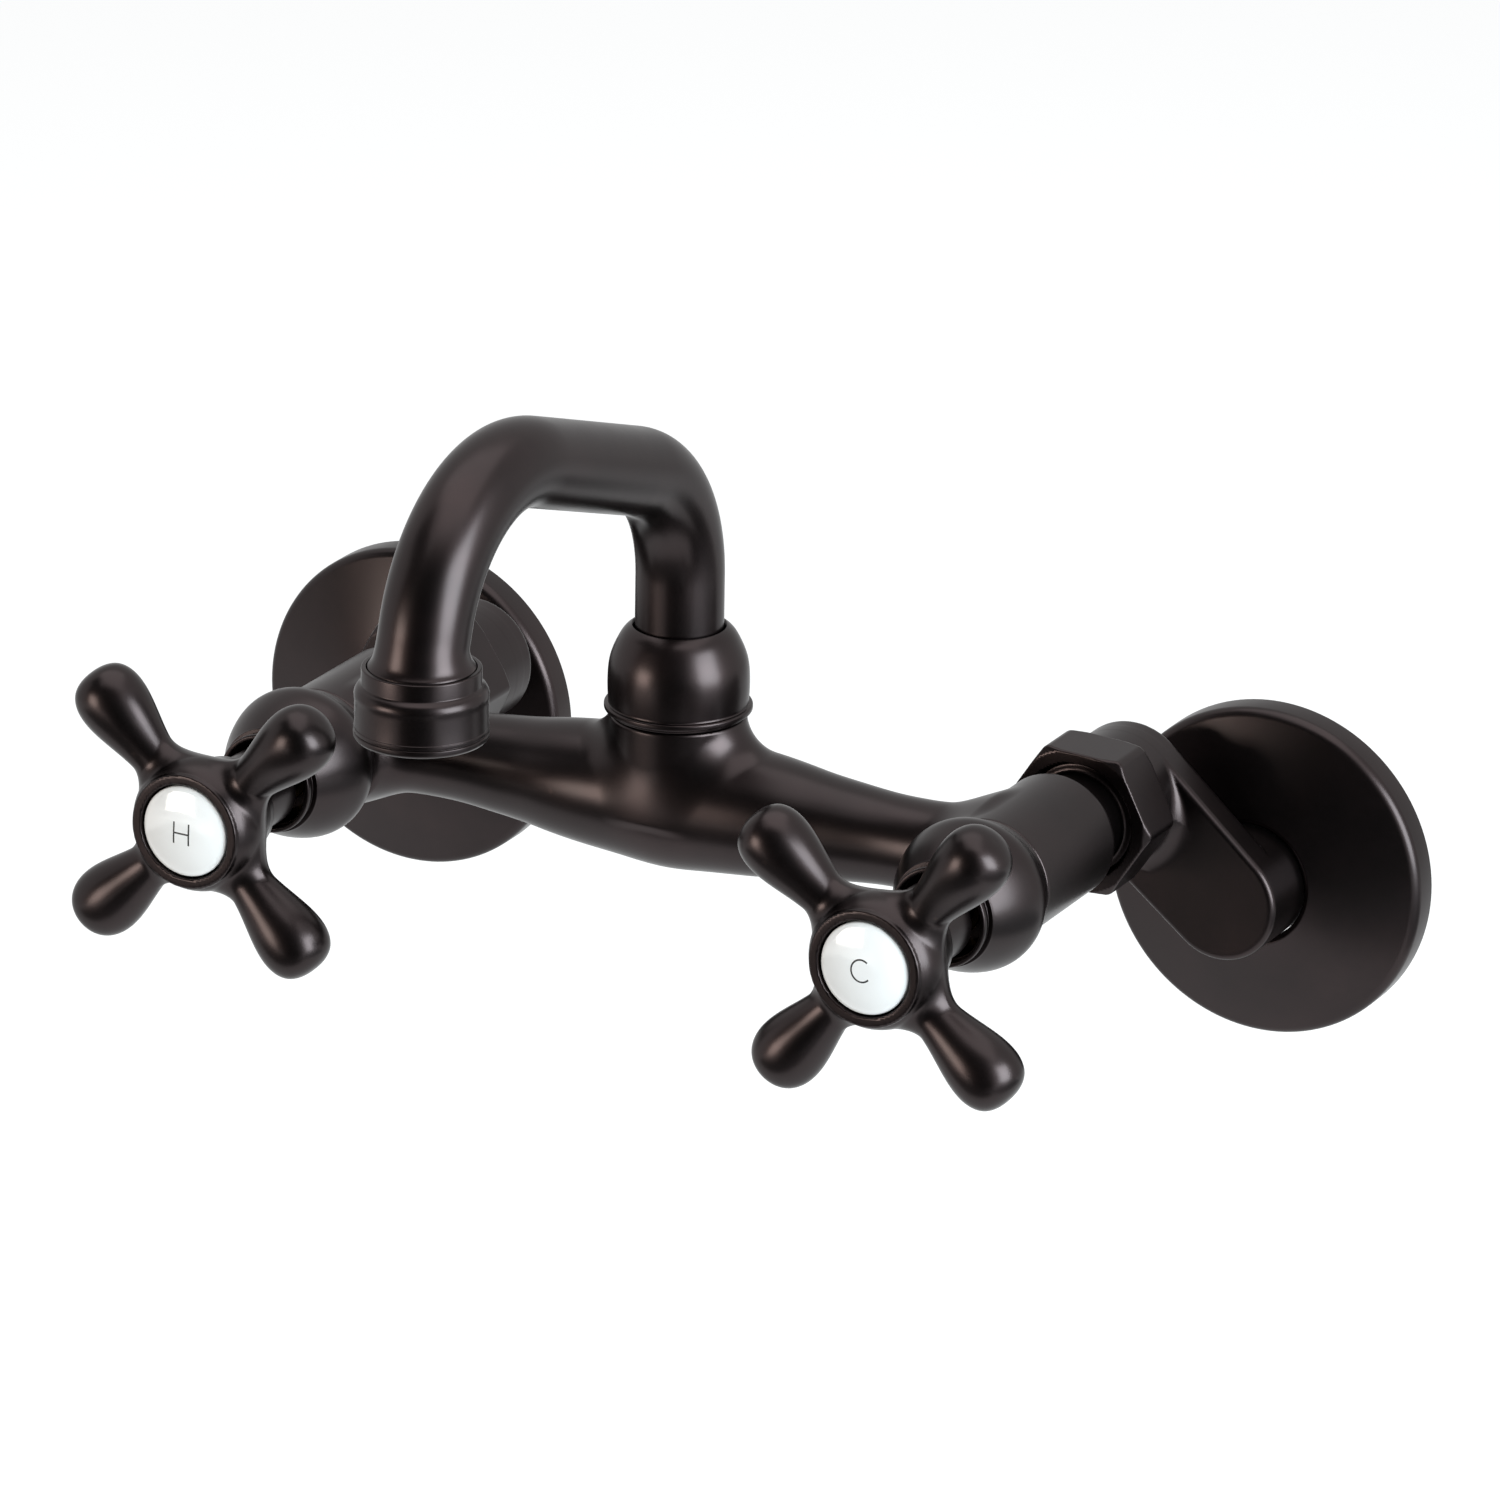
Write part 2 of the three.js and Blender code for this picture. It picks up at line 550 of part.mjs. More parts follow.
function crossHandle() {
  const hubBack = splineBack + 5.3;
  const skirtBack = bonnetFront + SKIRT_GAP;
  const skirtBore = SKIRT_RADIUS - SKIRT_WALL;
  const hubOutline = [
    [0, hubBack], [skirtBore, hubBack], [skirtBore, skirtBack], [SKIRT_RADIUS, skirtBack],
    [SKIRT_RADIUS, handlePlane - 12.4], [handleHub - 0.8, handlePlane - 10.8, 0.6],
    [handleHub - 0.3, handlePlane - 5], [handleHub, handlePlane],
    [handleHub + 0.2, handlePlane + 4], [handleHub, bezelFront, 0.7], [0, bezelFront],
  ];
  let handle = turned(hubOutline);
  for (let k = 0; k < 4; k += 1) {
    const arm = handleArm().rotate([90, 45 + 90 * k, 0]);
    handle = handle.add(arm.translate(0, -handlePlane, 0));
  }
  const recess = BUTTON_RADIUS + GAP;
  const well = SCREW_RADIUS + 4.6;
  return handle.subtract(turned([
    [0, splineBack], [hubBore, splineBack], [hubBore, webBack],
    [SCREW_RADIUS + GAP, webBack], [SCREW_RADIUS + GAP, webFront], [well, webFront],
    [well, buttonBack - GAP], [recess, buttonBack - GAP], [recess, bezelFront + CUT],
    [0, bezelFront + CUT],
  ]));
}

function handleScrew() {
  const headBack = webFront + GAP;
  const headRadius = SCREW_RADIUS + 2;
  const slot = block(headRadius * 1.5, SCREW_HEAD / 2, 0.9, [0, -(headBack + SCREW_HEAD), 0]);
  return turned([
    [0, stemEnd - 9], [SCREW_RADIUS, stemEnd - 9], [SCREW_RADIUS, headBack],
    [headRadius, headBack], [headRadius, headBack + SCREW_HEAD], [0, headBack + SCREW_HEAD],
  ], SLIM_SEGMENTS).subtract(slot);
}

// Domed porcelain button that snaps into the hub's recess.
function indexButton() {
  const rim = bezelFront - 0.8;
  return turned([
    [0, buttonBack], [BUTTON_RADIUS, buttonBack], [BUTTON_RADIUS, rim, 0.6],
    [BUTTON_RADIUS - 2.1, rim + 1], [BUTTON_RADIUS - 5.1, rim + 1.6], [0, rim + 1.8],
  ]);
}

// ---------------------------------------------------------------- both sides
const CLOSED_PORTS = 90;          // degrees between the two discs' ports when shut
const sides = [
  { label: 'hot', sign: -1, handleTurn: 0 },
  { label: 'cold', sign: 1, handleTurn: COLD_HANDLE_TURN },
];
for (const { label, sign, handleTurn } of sides) {
  const inlet = groupAt(sign * inletX, 0, 0);
  const valve = groupAt(sign * valveX, 0, valveZ);
  piece(`wall_flange_${label}`, wallFlange(), bronze, inlet);
  const armX = sign * (inletX - valveX);
  piece(`supply_arm_${label}`, supplyArm(armX, -valveZ), bronze, valve);
  piece(`nut_retaining_ring_${label}`, nutRetainingRing(), steel, valve);
  piece(`union_nut_${label}`, unionNut(), bronze, valve);
  piece(`union_washer_${label}`, unionWasher(), rubber, valve);
  piece(`seat_seal_${label}`, seatSeal(), rubber, valve);
  piece(`cartridge_shell_${label}`, cartridgeShell(), brass, valve);
  piece(`fixed_disc_${label}`, portedDisc(discBack, 0), ceramic, valve);
  piece(`valve_bonnet_${label}`, valveBonnet(), bronze, valve);
  piece(`gland_nut_${label}`, glandNut(), bronze, valve);
  const turning = groupAt(0, 0, 0, valve);
  turning.rotation.y = THREE.MathUtils.degToRad(-handleTurn);
  piece(`turning_disc_${label}`, portedDisc(turningDiscBack, CLOSED_PORTS), ceramic, turning);
  piece(`valve_stem_${label}`, valveStem(), brass, turning);
  piece(`stem_seal_${label}`, stemSeal(), rubber, turning);
  piece(`cross_handle_${label}`, crossHandle(), bronze, turning);
  piece(`handle_screw_${label}`, handleScrew(), steel, turning);
  piece(`index_button_${label}`, indexButton(), porcelain, turning);
}

// ---------------------------------------------------------------- swivel
const spout = groupAt(0, -crossbarDepth, valveZ);
const ringFoot = hubTop + GAP;
const ringTop = ringFoot + SPOUT_RING;
const bushingFoot = ringTop + GAP;
const bushingTop = bushingFoot + BUSHING_HEIGHT;
const collarRadius = hubThread + GAP + COLLAR_WALL;
const collarBead = collarRadius + COLLAR_BEAD;
const collarTop = HUB_HEIGHT + COLLAR_HEIGHT;
const spigotFoot = SOCKET_FLOOR + GAP;
const spoutSeals = [
  { label: 'lower', foot: spigotFoot + 3 },
  { label: 'upper', foot: spigotFoot + 8.6 },
];

// Dome-shaped nut: a bead near its foot, a short upright wall, then a round shoulder.
function swivelCollar() {
  const foot = HUB_HEIGHT + GAP;
  const lip = 0.3;
  const shoulder = collarTop - Math.sqrt(collarRadius ** 2 - (socketRadius + lip) ** 2);
  const dome = [];
  const steps = 6;
  const lastAngle = Math.asin((collarTop - shoulder) / collarRadius);
  for (let k = 0; k <= steps; k += 1) {
    const angle = lastAngle * k / steps;
    dome.push([collarRadius * Math.cos(angle), shoulder + collarRadius * Math.sin(angle)]);
  }
  return turnedUp([
    [hubThread + GAP, foot], [collarRadius - 0.3, foot], [collarRadius - 0.1, foot + 0.5],
    [collarBead, foot + 0.9], [collarBead, foot + 1.6], [collarRadius, foot + 2],
    ...dome, [socketRadius, collarTop - lip], [socketRadius, bushingTop + GAP],
    [hubThread + GAP, bushingTop + GAP],
  ]);
}

// Slides between the collar and the ring that holds the spout down.
function spoutBushing() {
  return turnedUp(tube(socketRadius, hubThread - GAP, bushingFoot, bushingTop));
}

// Split ring in a groove of the spout.
function spoutRing() {
  const split = block(2, 2 * SPOUT_RADIUS, 3 * SPOUT_RING, [0, SPOUT_RADIUS, ringFoot]);
  return turnedUp(tube(SPOUT_RADIUS - 0.8, hubThread - 0.6, ringFoot, ringTop)).subtract(split);
}

function spoutSeal(foot) {
  return turnedUp(tube(SPOUT_RADIUS - 1.25, SPOUT_RADIUS + 0.05, foot, foot + SPOUT_SEAL));
}

piece('swivel_collar', swivelCollar(), bronze, spout);
piece('spout_bushing', spoutBushing(), plastic, spout);
piece('spout_retaining_ring', spoutRing(), steel, spout);
for (const { label, foot } of spoutSeals) piece(`spout_seal_${label}`, spoutSeal(foot), rubber, spout);

// ---------------------------------------------------------------- spout
// The tube's centreline lies in the upright plane x = 0. Its heading is measured from straight
// up towards the user, so it is 0 in the riser and 180 degrees at the outlet.
const slope = THREE.MathUtils.degToRad(SPOUT_SLOPE);
const runHeading = Math.PI / 2 - slope;
const rearTangent = REAR_BEND * Math.tan(runHeading / 2);
const frontTangent = FRONT_BEND * Math.tan((Math.PI - runHeading) / 2);
const outletHeight = SPOUT_CORNER + SPOUT_REACH * Math.tan(slope) - frontTangent;

// A circular arc of the centreline between two headings.
class Bend extends THREE.Curve {
  constructor(start, fromHeading, toHeading, radius) {
    super();
    Object.assign(this, { start, fromHeading, toHeading, radius });
  }

  getPoint(t, target = new THREE.Vector3()) {
    const heading = THREE.MathUtils.lerp(this.fromHeading, this.toHeading, t);
    const forward = this.radius * (Math.cos(this.fromHeading) - Math.cos(heading));
    const up = this.radius * (Math.sin(heading) - Math.sin(this.fromHeading));
    return target.set(0, -forward, up).add(this.start);
  }
}

function spoutPath(foot) {
  const along = new THREE.Vector3(0, -Math.cos(slope), Math.sin(slope));
  const riserEnd = new THREE.Vector3(0, 0, SPOUT_CORNER - rearTangent);
  const rear = new Bend(riserEnd, 0, runHeading, REAR_BEND);
  const runEnd = new THREE.Vector3(0, 0, SPOUT_CORNER)
    .addScaledVector(along, SPOUT_REACH / Math.cos(slope) - frontTangent);
  const path = new THREE.CurvePath();
  path.add(new THREE.LineCurve3(new THREE.Vector3(0, 0, foot), riserEnd));
  path.add(rear);
  path.add(new THREE.LineCurve3(rear.getPoint(1), runEnd));
  path.add(new Bend(runEnd, runHeading, Math.PI, FRONT_BEND));
  return path;
}

// The thick-walled lower end carries the seals' grooves and the retaining ring's groove.
function spoutSpigot(top) {
  const bore = SPOUT_RADIUS - SPIGOT_WALL;
  const outside = SPOUT_RADIUS + CUT;
  const grooves = [
    tube(SPOUT_RADIUS - 1.1, outside, ringFoot - GAP, ringTop + GAP),
    ...spoutSeals.map(({ foot }) => tube(
      SPOUT_RADIUS - 1.5, outside, foot - GAP, foot + SPOUT_SEAL + GAP,
    )),
  ];
  const sleeve = turnedUp([
    [bore, spigotFoot], [SPOUT_RADIUS, spigotFoot], [SPOUT_RADIUS, top],
    [SPOUT_RADIUS - SPOUT_WALL, top], [bore, top - 2],
  ]);
  return grooves.reduce((shape, groove) => shape.subtract(turnedUp(groove)), sleeve);
}

const outletThread = SPOUT_RADIUS + OUTLET_FLARE;
const aeratorTop = outletHeight + 1;
const outletFoot = aeratorTop - OUTLET_THREAD;

// Flared end of the tube with the thread that the aerator screws on.
function spoutOutlet() {
  return turnedUp([
    [SPOUT_RADIUS - SPOUT_WALL, outletFoot], [outletThread, outletFoot],
    [outletThread, aeratorTop + GAP], [SPOUT_RADIUS + 1.9, aeratorTop + GAP],
    [SPOUT_RADIUS + 1.7, aeratorTop + 1.4], [SPOUT_RADIUS + 0.7, aeratorTop + 3.6],
    [SPOUT_RADIUS - 0.2, aeratorTop + 6.6], [SPOUT_RADIUS - SPOUT_WALL, aeratorTop + 5],
  ]).translate(0, -SPOUT_REACH, 0);
}

function spoutTube() {
  const spigotTop = collarTop - 3;
  const section = new THREE.Shape().absarc(0, 0, SPOUT_RADIUS, 0, 2 * Math.PI, false);
  const bore = new THREE.Path().absarc(0, 0, SPOUT_RADIUS - SPOUT_WALL, 0, 2 * Math.PI, true);
  section.holes.push(bore);
  const bent = new THREE.ExtrudeGeometry(section, {
    steps: 22,
    bevelEnabled: false,
    curveSegments: SEGMENTS / 2,
    extrudePath: spoutPath(spigotTop - 1),
  });
  return solid(bent).add(spoutSpigot(spigotTop)).add(spoutOutlet());
}

piece('spout_tube', spoutTube(), bronze, spout);

// ---------------------------------------------------------------- aerator
const aerator = groupAt(0, -SPOUT_REACH, 0, spout);
const aeratorBore = outletThread + GAP;
const aeratorRadius = aeratorBore + AERATOR_WALL;
const aeratorFoot = aeratorTop - AERATOR_HEIGHT;
const lipTop = aeratorFoot + AERATOR_LIP;
const insertTop = lipTop + GAP + INSERT_HEIGHT;

// Screw-on housing: a narrow rim, a rounded shoulder, a plain band and a bead above the mouth.
function aeratorHousing() {
  const mouth = aeratorBore - 1.2;
  return turnedUp([
    [aeratorBore, aeratorTop], [aeratorRadius - 1.5, aeratorTop],
    [aeratorRadius - 1.15, aeratorTop - 0.4], [aeratorRadius - 1.2, aeratorTop - 1.4],
    [aeratorRadius - 1.6, aeratorTop - 2.6], [aeratorRadius - 1.4, aeratorTop - 3.6],
    [aeratorRadius, aeratorTop - 4.6], [aeratorRadius + 0.35, aeratorTop - 5.2],
    [aeratorRadius + 0.05, aeratorTop - 6.4], [aeratorRadius, aeratorFoot + 2.8],
    [aeratorRadius + 0.5, aeratorFoot + 1.9], [aeratorRadius + 0.6, aeratorFoot + 1.1],
    [aeratorRadius + 0.4, aeratorFoot + 0.5], [aeratorRadius - 0.3, aeratorFoot],
    [mouth, aeratorFoot], [mouth, lipTop], [aeratorBore, lipTop],
  ]);
}

// Cup whose floor is pierced by rings of small holes.
function aeratorInsert() {
  const outer = aeratorBore - GAP;
  const foot = lipTop + GAP;
  const floor = 1.2;
  const wall = 1.4;
  const cup = turnedUp([
    [0, foot], [outer, foot], [outer, insertTop], [outer - wall, insertTop],
    [outer - wall, foot + floor], [0, foot + floor],
  ]);
  const hole = turnedUp(rod(1.2, foot - CUT, foot + floor + CUT), 6);
  const holeRings = [{ count: 1, radius: 0 }, { count: 6, radius: 4.6 }];
  let insert = cup;
  for (const { count, radius } of holeRings) {
    for (let k = 0; k < count; k += 1) {
      const angle = 2 * Math.PI * k / count;
      insert = insert.subtract(hole.translate(radius * Math.cos(angle), radius * Math.sin(angle), 0));
    }
  }
  return insert;
}

// Seal between the insert and the end of the spout.
function aeratorWasher() {
  const inner = SPOUT_RADIUS - SPOUT_WALL;
  return turnedUp(tube(inner, aeratorBore - GAP, insertTop + GAP, outletFoot - GAP));
}

piece('aerator_housing', aeratorHousing(), bronze, aerator);
piece('aerator_insert', aeratorInsert(), plastic, aerator);
piece('aerator_washer', aeratorWasher(), rubber, aerator);

export default faucet;
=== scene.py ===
import json
from math import acos, cos, hypot, pi, radians, sin, sqrt, tan

import bmesh
import bpy
import numpy as np
from mathutils import Matrix, Vector


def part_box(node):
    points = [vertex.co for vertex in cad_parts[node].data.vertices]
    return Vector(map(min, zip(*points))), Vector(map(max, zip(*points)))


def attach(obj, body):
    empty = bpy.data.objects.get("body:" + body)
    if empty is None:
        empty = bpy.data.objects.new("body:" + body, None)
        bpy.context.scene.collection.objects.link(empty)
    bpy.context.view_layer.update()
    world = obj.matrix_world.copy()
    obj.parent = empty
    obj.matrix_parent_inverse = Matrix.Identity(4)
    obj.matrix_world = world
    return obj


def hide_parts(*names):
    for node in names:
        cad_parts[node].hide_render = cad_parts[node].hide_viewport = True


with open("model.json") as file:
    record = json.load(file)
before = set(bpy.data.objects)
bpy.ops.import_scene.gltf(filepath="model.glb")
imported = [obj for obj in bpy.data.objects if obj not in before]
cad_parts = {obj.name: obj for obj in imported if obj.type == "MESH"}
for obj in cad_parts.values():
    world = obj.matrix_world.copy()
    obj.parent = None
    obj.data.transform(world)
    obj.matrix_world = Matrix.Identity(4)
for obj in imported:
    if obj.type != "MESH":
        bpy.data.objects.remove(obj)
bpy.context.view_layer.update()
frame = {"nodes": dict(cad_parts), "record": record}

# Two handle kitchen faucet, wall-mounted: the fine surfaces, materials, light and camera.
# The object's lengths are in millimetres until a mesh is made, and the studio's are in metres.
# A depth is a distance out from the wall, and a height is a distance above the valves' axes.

MM = 0.001
GAP = 0.3  # running gap between neighbours
SIDES = {"hot": -1, "cold": 1}


def extent(node):
    """Lowest and highest corner of a CAD node, in millimetres."""
    low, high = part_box(node)
    return np.array(low) / MM, np.array(high) / MM


def depths(node):
    """Least and greatest depth of a CAD node."""
    low, high = extent(node)
    return -high[1], -low[1]


def heights(node):
    """Least and greatest height of a CAD node."""
    low, high = extent(node)
    return low[2] - VALVE_Z, high[2] - VALVE_Z


# Places, taken from the frame
body_low, body_high = extent("faucet_body")
nut_low, nut_high = extent("union_nut_cold")
arm_low, arm_high = extent("supply_arm_cold")
flange_low, flange_high = extent("wall_flange_cold")
handle_low, handle_high = extent("cross_handle_hot")
button_low, button_high = extent("index_button_hot")

VALVE_X = (nut_low[0] + nut_high[0]) / 2
VALVE_Z = (nut_low[2] + nut_high[2]) / 2
INLET_X = (flange_low[0] + flange_high[0]) / 2
SWIVEL_DEPTH = sum(depths("swivel_collar")) / 2
OUTLET_REACH = sum(depths("aerator_housing")) / 2 - SWIVEL_DEPTH
NUT_BACK, NUT_FRONT = depths("union_nut_cold")
NUT_FLATS = nut_high[2] - nut_low[2]
RING_BACK, RING_FRONT = depths("nut_retaining_ring_cold")
NUT_LIP = RING_BACK - GAP  # the nut's inward lip ends behind the ring
RING_GROOVE_END = RING_FRONT + GAP
SEAT_FRONT = depths("seat_seal_cold")[0] - GAP
STEM_END = depths("valve_stem_cold")[1]
BODY_BACK, BARREL_MOUTH = depths("faucet_body")
HUB_TOP = heights("faucet_body")[1]
FLANGE_RADIUS = (flange_high[0] - flange_low[0]) / 2
FLANGE_DEPTH = depths("wall_flange_cold")[1]
NECK_END = depths("supply_arm_cold")[1]
BONNET_BACK = depths("valve_bonnet_cold")[0]
BARREL_FRONT = BONNET_BACK - GAP
HANDLE_BACK, HANDLE_FRONT = depths("cross_handle_hot")
BUTTON_BACK, BUTTON_FRONT = depths("index_button_hot")
BUTTON_RADIUS = (button_high[0] - button_low[0]) / 2
AERATOR_FOOT, AERATOR_TOP = heights("aerator_housing")
SPOUT_START = heights("spout_tube")[0]
COLLAR_TOP = heights("swivel_collar")[1]
OUTLET_END = heights("aerator_washer")[1] + GAP

# Sizes that the photograph shows, and those that fit inside them
THREAD_RADIUS = 12  # the body's threads, under the nuts and bonnets
BARREL_RADIUS = 13.1
BARREL_BACK = 55.8
RELIEF_RADIUS = 9.9  # bare neck behind the barrel
RELIEF_START = NUT_FRONT - 1.8
SUPPLY_BORE = 8
SEAT_HOLE = 4.6  # radius of the hole through the valve's seat
SEAT_WALL = 3
CHAMBER_RADIUS = 10.2  # the cartridge's space
HUB_RADIUS = 13.9
HUB_HEIGHT = 18.4
SOCKET_RADIUS = 9.3  # the spout turns in this socket
SOCKET_FLOOR = 7.5
WATERWAY_RADIUS = 6
HUB_FILLET = 7
BARREL_FILLET = 7
HUB_PINCH = 0.7  # how much smaller the fillets are at the front and back of the hub,
BARREL_PINCH = 0.5  # and above and below the crossbar at the barrels
ARM_RADIUS = 12.3  # radius of a supply arm's inlet end and of its wall boss
ARM_HEAD = 13.1  # radius of its valve end
ARM_BACK = 20
ARM_FRONT = 28
ARM_NECK = 10
RING_GROOVE_RADIUS = 8.3
ARM_EDGE = 1.3  # rounding of the arm's plate
BOSS_END = 23.2
CHANNEL_HALF = 2.2  # half the depth of the waterway inside the plate
INLET_BORE = 9.3
INLET_DEPTH = 14
SEAT_FILLET = 5  # between an arm's face and its round seat behind the nut
SEAT_FADE = 6  # that fillet fades out this near the plate's edge
FLANGE_RIM = 6.95  # depth of the wall flange's rim
FLANGE_WALL = 1.6
SPOUT_RADIUS = 9
SPOUT_BORE = 7.6
SPIGOT_BORE = 6.2  # the spout's thick lower end
SPIGOT_TOP = 33
SPOUT_GROOVES = {"spout_seal_lower": 7.5, "spout_seal_upper": 7.5, "spout_retaining_ring": 7.9}
OUTLET_THREAD_RADIUS = 10.3
RISER_TOP = 47.78  # where the rear bend starts
REAR_BEND = 29  # centreline radii of the two bends
FRONT_BEND = 32.5
SPOUT_HEADING = 71.6  # degrees from upright, between the bends
LEVEL_FROM = 67  # between these heights the spout's end comes upright
LEVEL_TO = 62.5
NECK_RISE = 1  # aerator's neck above its thread
AERATOR_RADIUS = 12.95
AERATOR_MOUTH = 9.4
COLLAR_RADIUS = 14.35
COLLAR_BEAD = 15.05
BONNET_LENGTH = 22.5
BONNET_BELLY = 15.7
BONNET_MOUTH = 9.2
BONNET_WALL = 1.9
NUT_TURN = 3  # degrees that the union nuts stand off level flats
HANDLE_PLANE = 134.2  # depth of the four arms' axes
HANDLE_HUB = 14
HANDLE_NECK = 4.5
HANDLE_BALL = 7.2
HANDLE_TIP = 37.3  # handle's axis to the end of each ball
SLEEVE_RADIUS = 8.1  # sleeve behind the handle's hub, round the stem
SLEEVE_BORE = 6.6
HUB_BACK = 118.5
SPLINE_BORE = 3.7  # holes for the stem's splines, the screw and its head
SCREW_BORE = 1.7
SCREW_WELL = 6
HANDLE_FILLET = 5
HANDLE_FADE = 6  # that fillet shrinks this near the hub's front
HANDLE_TURN = {"hot": -1.5, "cold": 5}  # degrees that the handles stand off the diagonals
DOME_RADIUS = 4.4  # the button's dome falls by a fifth of a millimetre within this
DOME_FALL = 0.2

TURNS = 112  # facets round a turned surface
FACET = 0.35  # spacing of an outline's points


# ---- outlines

def rounded(points, steps=6):
    """A closed outline with its marked corners rounded. A corner is (radius, distance, rounding)."""
    corners = [np.array(point[:2], float) for point in points]
    outline = []
    for i, point in enumerate(points):
        here = corners[i]
        rounding = point[2] if len(point) > 2 else 0
        if not rounding:
            outline.append(here)
            continue
        back = corners[i - 1] - here
        ahead = corners[(i + 1) % len(points)] - here
        back_length = np.linalg.norm(back)
        ahead_length = np.linalg.norm(ahead)
        back /= back_length
        ahead /= ahead_length
        half = acos(np.clip(back @ ahead, -1, 1)) / 2
        reach = min(rounding / tan(half), 0.49 * back_length, 0.49 * ahead_length)
        radius = reach * tan(half)
        middle = (back + ahead) / np.linalg.norm(back + ahead)
        centre = here + middle * radius / sin(half)
        first = here + back * reach - centre
        last = here + ahead * reach - centre
        turn = pi - 2 * half
        for share in np.linspace(0, 1, steps + 1):
            blend = sin((1 - share) * turn) * first + sin(share * turn) * last
            outline.append(centre + blend / sin(turn))
    return outline


def spline(points, spacing=FACET):
    """A smooth curve through the points, with continuous curvature."""
    knots = np.array(points, float)
    count = len(knots)
    chord = np.linalg.norm(np.diff(knots, axis=0), axis=1)
    at = np.concatenate([[0], np.cumsum(chord)])
    system = np.eye(count)
    right = np.zeros_like(knots)
    for i in range(1, count - 1):
        system[i, i - 1:i + 2] = chord[i - 1], 2 * (chord[i - 1] + chord[i]), chord[i]
        right[i] = 6 * ((knots[i + 1] - knots[i]) / chord[i] - (knots[i] - knots[i - 1]) / chord[i - 1])
    second = np.linalg.solve(system, right)
    along = np.linspace(0, at[-1], int(at[-1] / spacing) + 2)
    span = np.clip(np.searchsorted(at, along, side="right") - 1, 0, count - 2)
    width = chord[span][:, None]
    a = (at[span + 1] - along)[:, None] / width
    b = 1 - a
    bend = (a ** 3 - a) * second[span] + (b ** 3 - b) * second[span + 1]
    return list(a * knots[span] + b * knots[span + 1] + bend * width ** 2 / 6)


# ---- meshes

def add_object(name, data):
    """A new object in the scene."""
    thing = bpy.data.objects.new(name, data)
    bpy.context.scene.collection.objects.link(thing)
    return thing


def make_object(name, points, faces, crease=40):
    """A smooth-shaded object from points in millimetres, with edges sharper than crease degrees kept."""
    mesh = bpy.data.meshes.new(name)
    mesh.from_pydata((np.asarray(points) * MM).tolist(), [], faces)
    work = bmesh.new()
    work.from_mesh(mesh)
    bmesh.ops.recalc_face_normals(work, faces=work.faces)
    work.to_mesh(mesh)
    work.free()
    mesh.shade_smooth()
    mesh.set_sharp_from_angle(angle=radians(crease))
    return add_object(name, mesh)


def spin(outline, place, turns=TURNS, closed=True):
    """An outline of (radius, distance) turned about an axis. place gives each point its place."""
    points = []
    rings = []
    angles = np.linspace(0, 2 * pi, turns, endpoint=False)
    for radius, distance in outline:
        if radius < 1e-6:
            rings.append([len(points)] * turns)
            points.append(place(0, 0, distance))
            continue
        rings.append(list(range(len(points), len(points) + turns)))
        points += [place(radius * cos(a), radius * sin(a), distance) for a in angles]
    faces = []
    last = len(rings) if closed else len(rings) - 1
    for i in range(last):
        one = rings[i]
        two = rings[(i + 1) % len(rings)]
        for k in range(turns):
            after = (k + 1) % turns
            corners = list(dict.fromkeys([one[k], one[after], two[after], two[k]]))
            if len(corners) > 2:
                faces.append(corners)
    return points, faces


def turned_piece(name, outline, place, body, node, slot="bronze", turns=TURNS, closed=True):
    """A spun outline as a finished piece that takes the place of one CAD node."""
    points, faces = spin(outline, place, turns, closed)
    finish_piece(make_object(name, points, faces), body, slot, [node])


def from_wall(x, z):
    """Placing for a piece turned about an axis out of the wall: distances are depths."""
    return lambda across, over, along: (x + across, -along, z + over)


def upright(depth):
    """Placing for a piece turned about an upright axis on the centreline: distances are heights."""
    return lambda across, over, along: (across, over - depth, VALVE_Z + along)


# ---- signed distances

TABLE_STEP = 0.1
TABLE_MARGIN = 9


def polygon_distance(u, v, outline):
    """Signed distance from the points (u, v) to a closed polygon, negative inside."""
    nearest = np.full(u.shape, np.inf)
    inside = np.zeros(u.shape, bool)
    for one, two in zip(outline, np.roll(outline, -1, axis=0)):
        run = two - one
        length = run @ run
        if length < 1e-12:
            continue
        du = u - one[0]
        dv = v - one[1]
        share = np.clip((du * run[0] + dv * run[1]) / length, 0, 1)
        nearest = np.minimum(nearest, (du - share * run[0]) ** 2 + (dv - share * run[1]) ** 2)
        if one[1] != two[1]:
            crosses = (one[1] > v) != (two[1] > v)
            inside ^= crosses & (u < one[0] + (v - one[1]) * run[0] / run[1])
    return np.where(inside, -1, 1) * np.sqrt(nearest)


def turned(outline):
    """Signed distance to a turned solid, as a function of radius and distance along its axis."""
    outline = np.array([point[:2] for point in outline], float)
    low = np.maximum(outline.min(axis=0) - TABLE_MARGIN, [0, -np.inf])
    high = outline.max(axis=0) + TABLE_MARGIN
    sizes = np.ceil((high - low) / TABLE_STEP).astype(int) + 1
    u, v = np.meshgrid(*(low[k] + TABLE_STEP * np.arange(sizes[k]) for k in (0, 1)), indexing="ij")
    table = polygon_distance(u, v, outline)

    def distance(radius, along):
        a = (radius - low[0]) / TABLE_STEP
        b = (along - low[1]) / TABLE_STEP
        a_in = np.clip(a, 0, sizes[0] - 1.001)
        b_in = np.clip(b, 0, sizes[1] - 1.001)
        i = a_in.astype(int)
        j = b_in.astype(int)
        p = a_in - i
        q = b_in - j
        near = (1 - q) * table[i, j] + q * table[i, j + 1]
        far = (1 - q) * table[i + 1, j] + q * table[i + 1, j + 1]
        return (1 - p) * near + p * far + np.hypot(a - a_in, b - b_in) * TABLE_STEP

    return distance


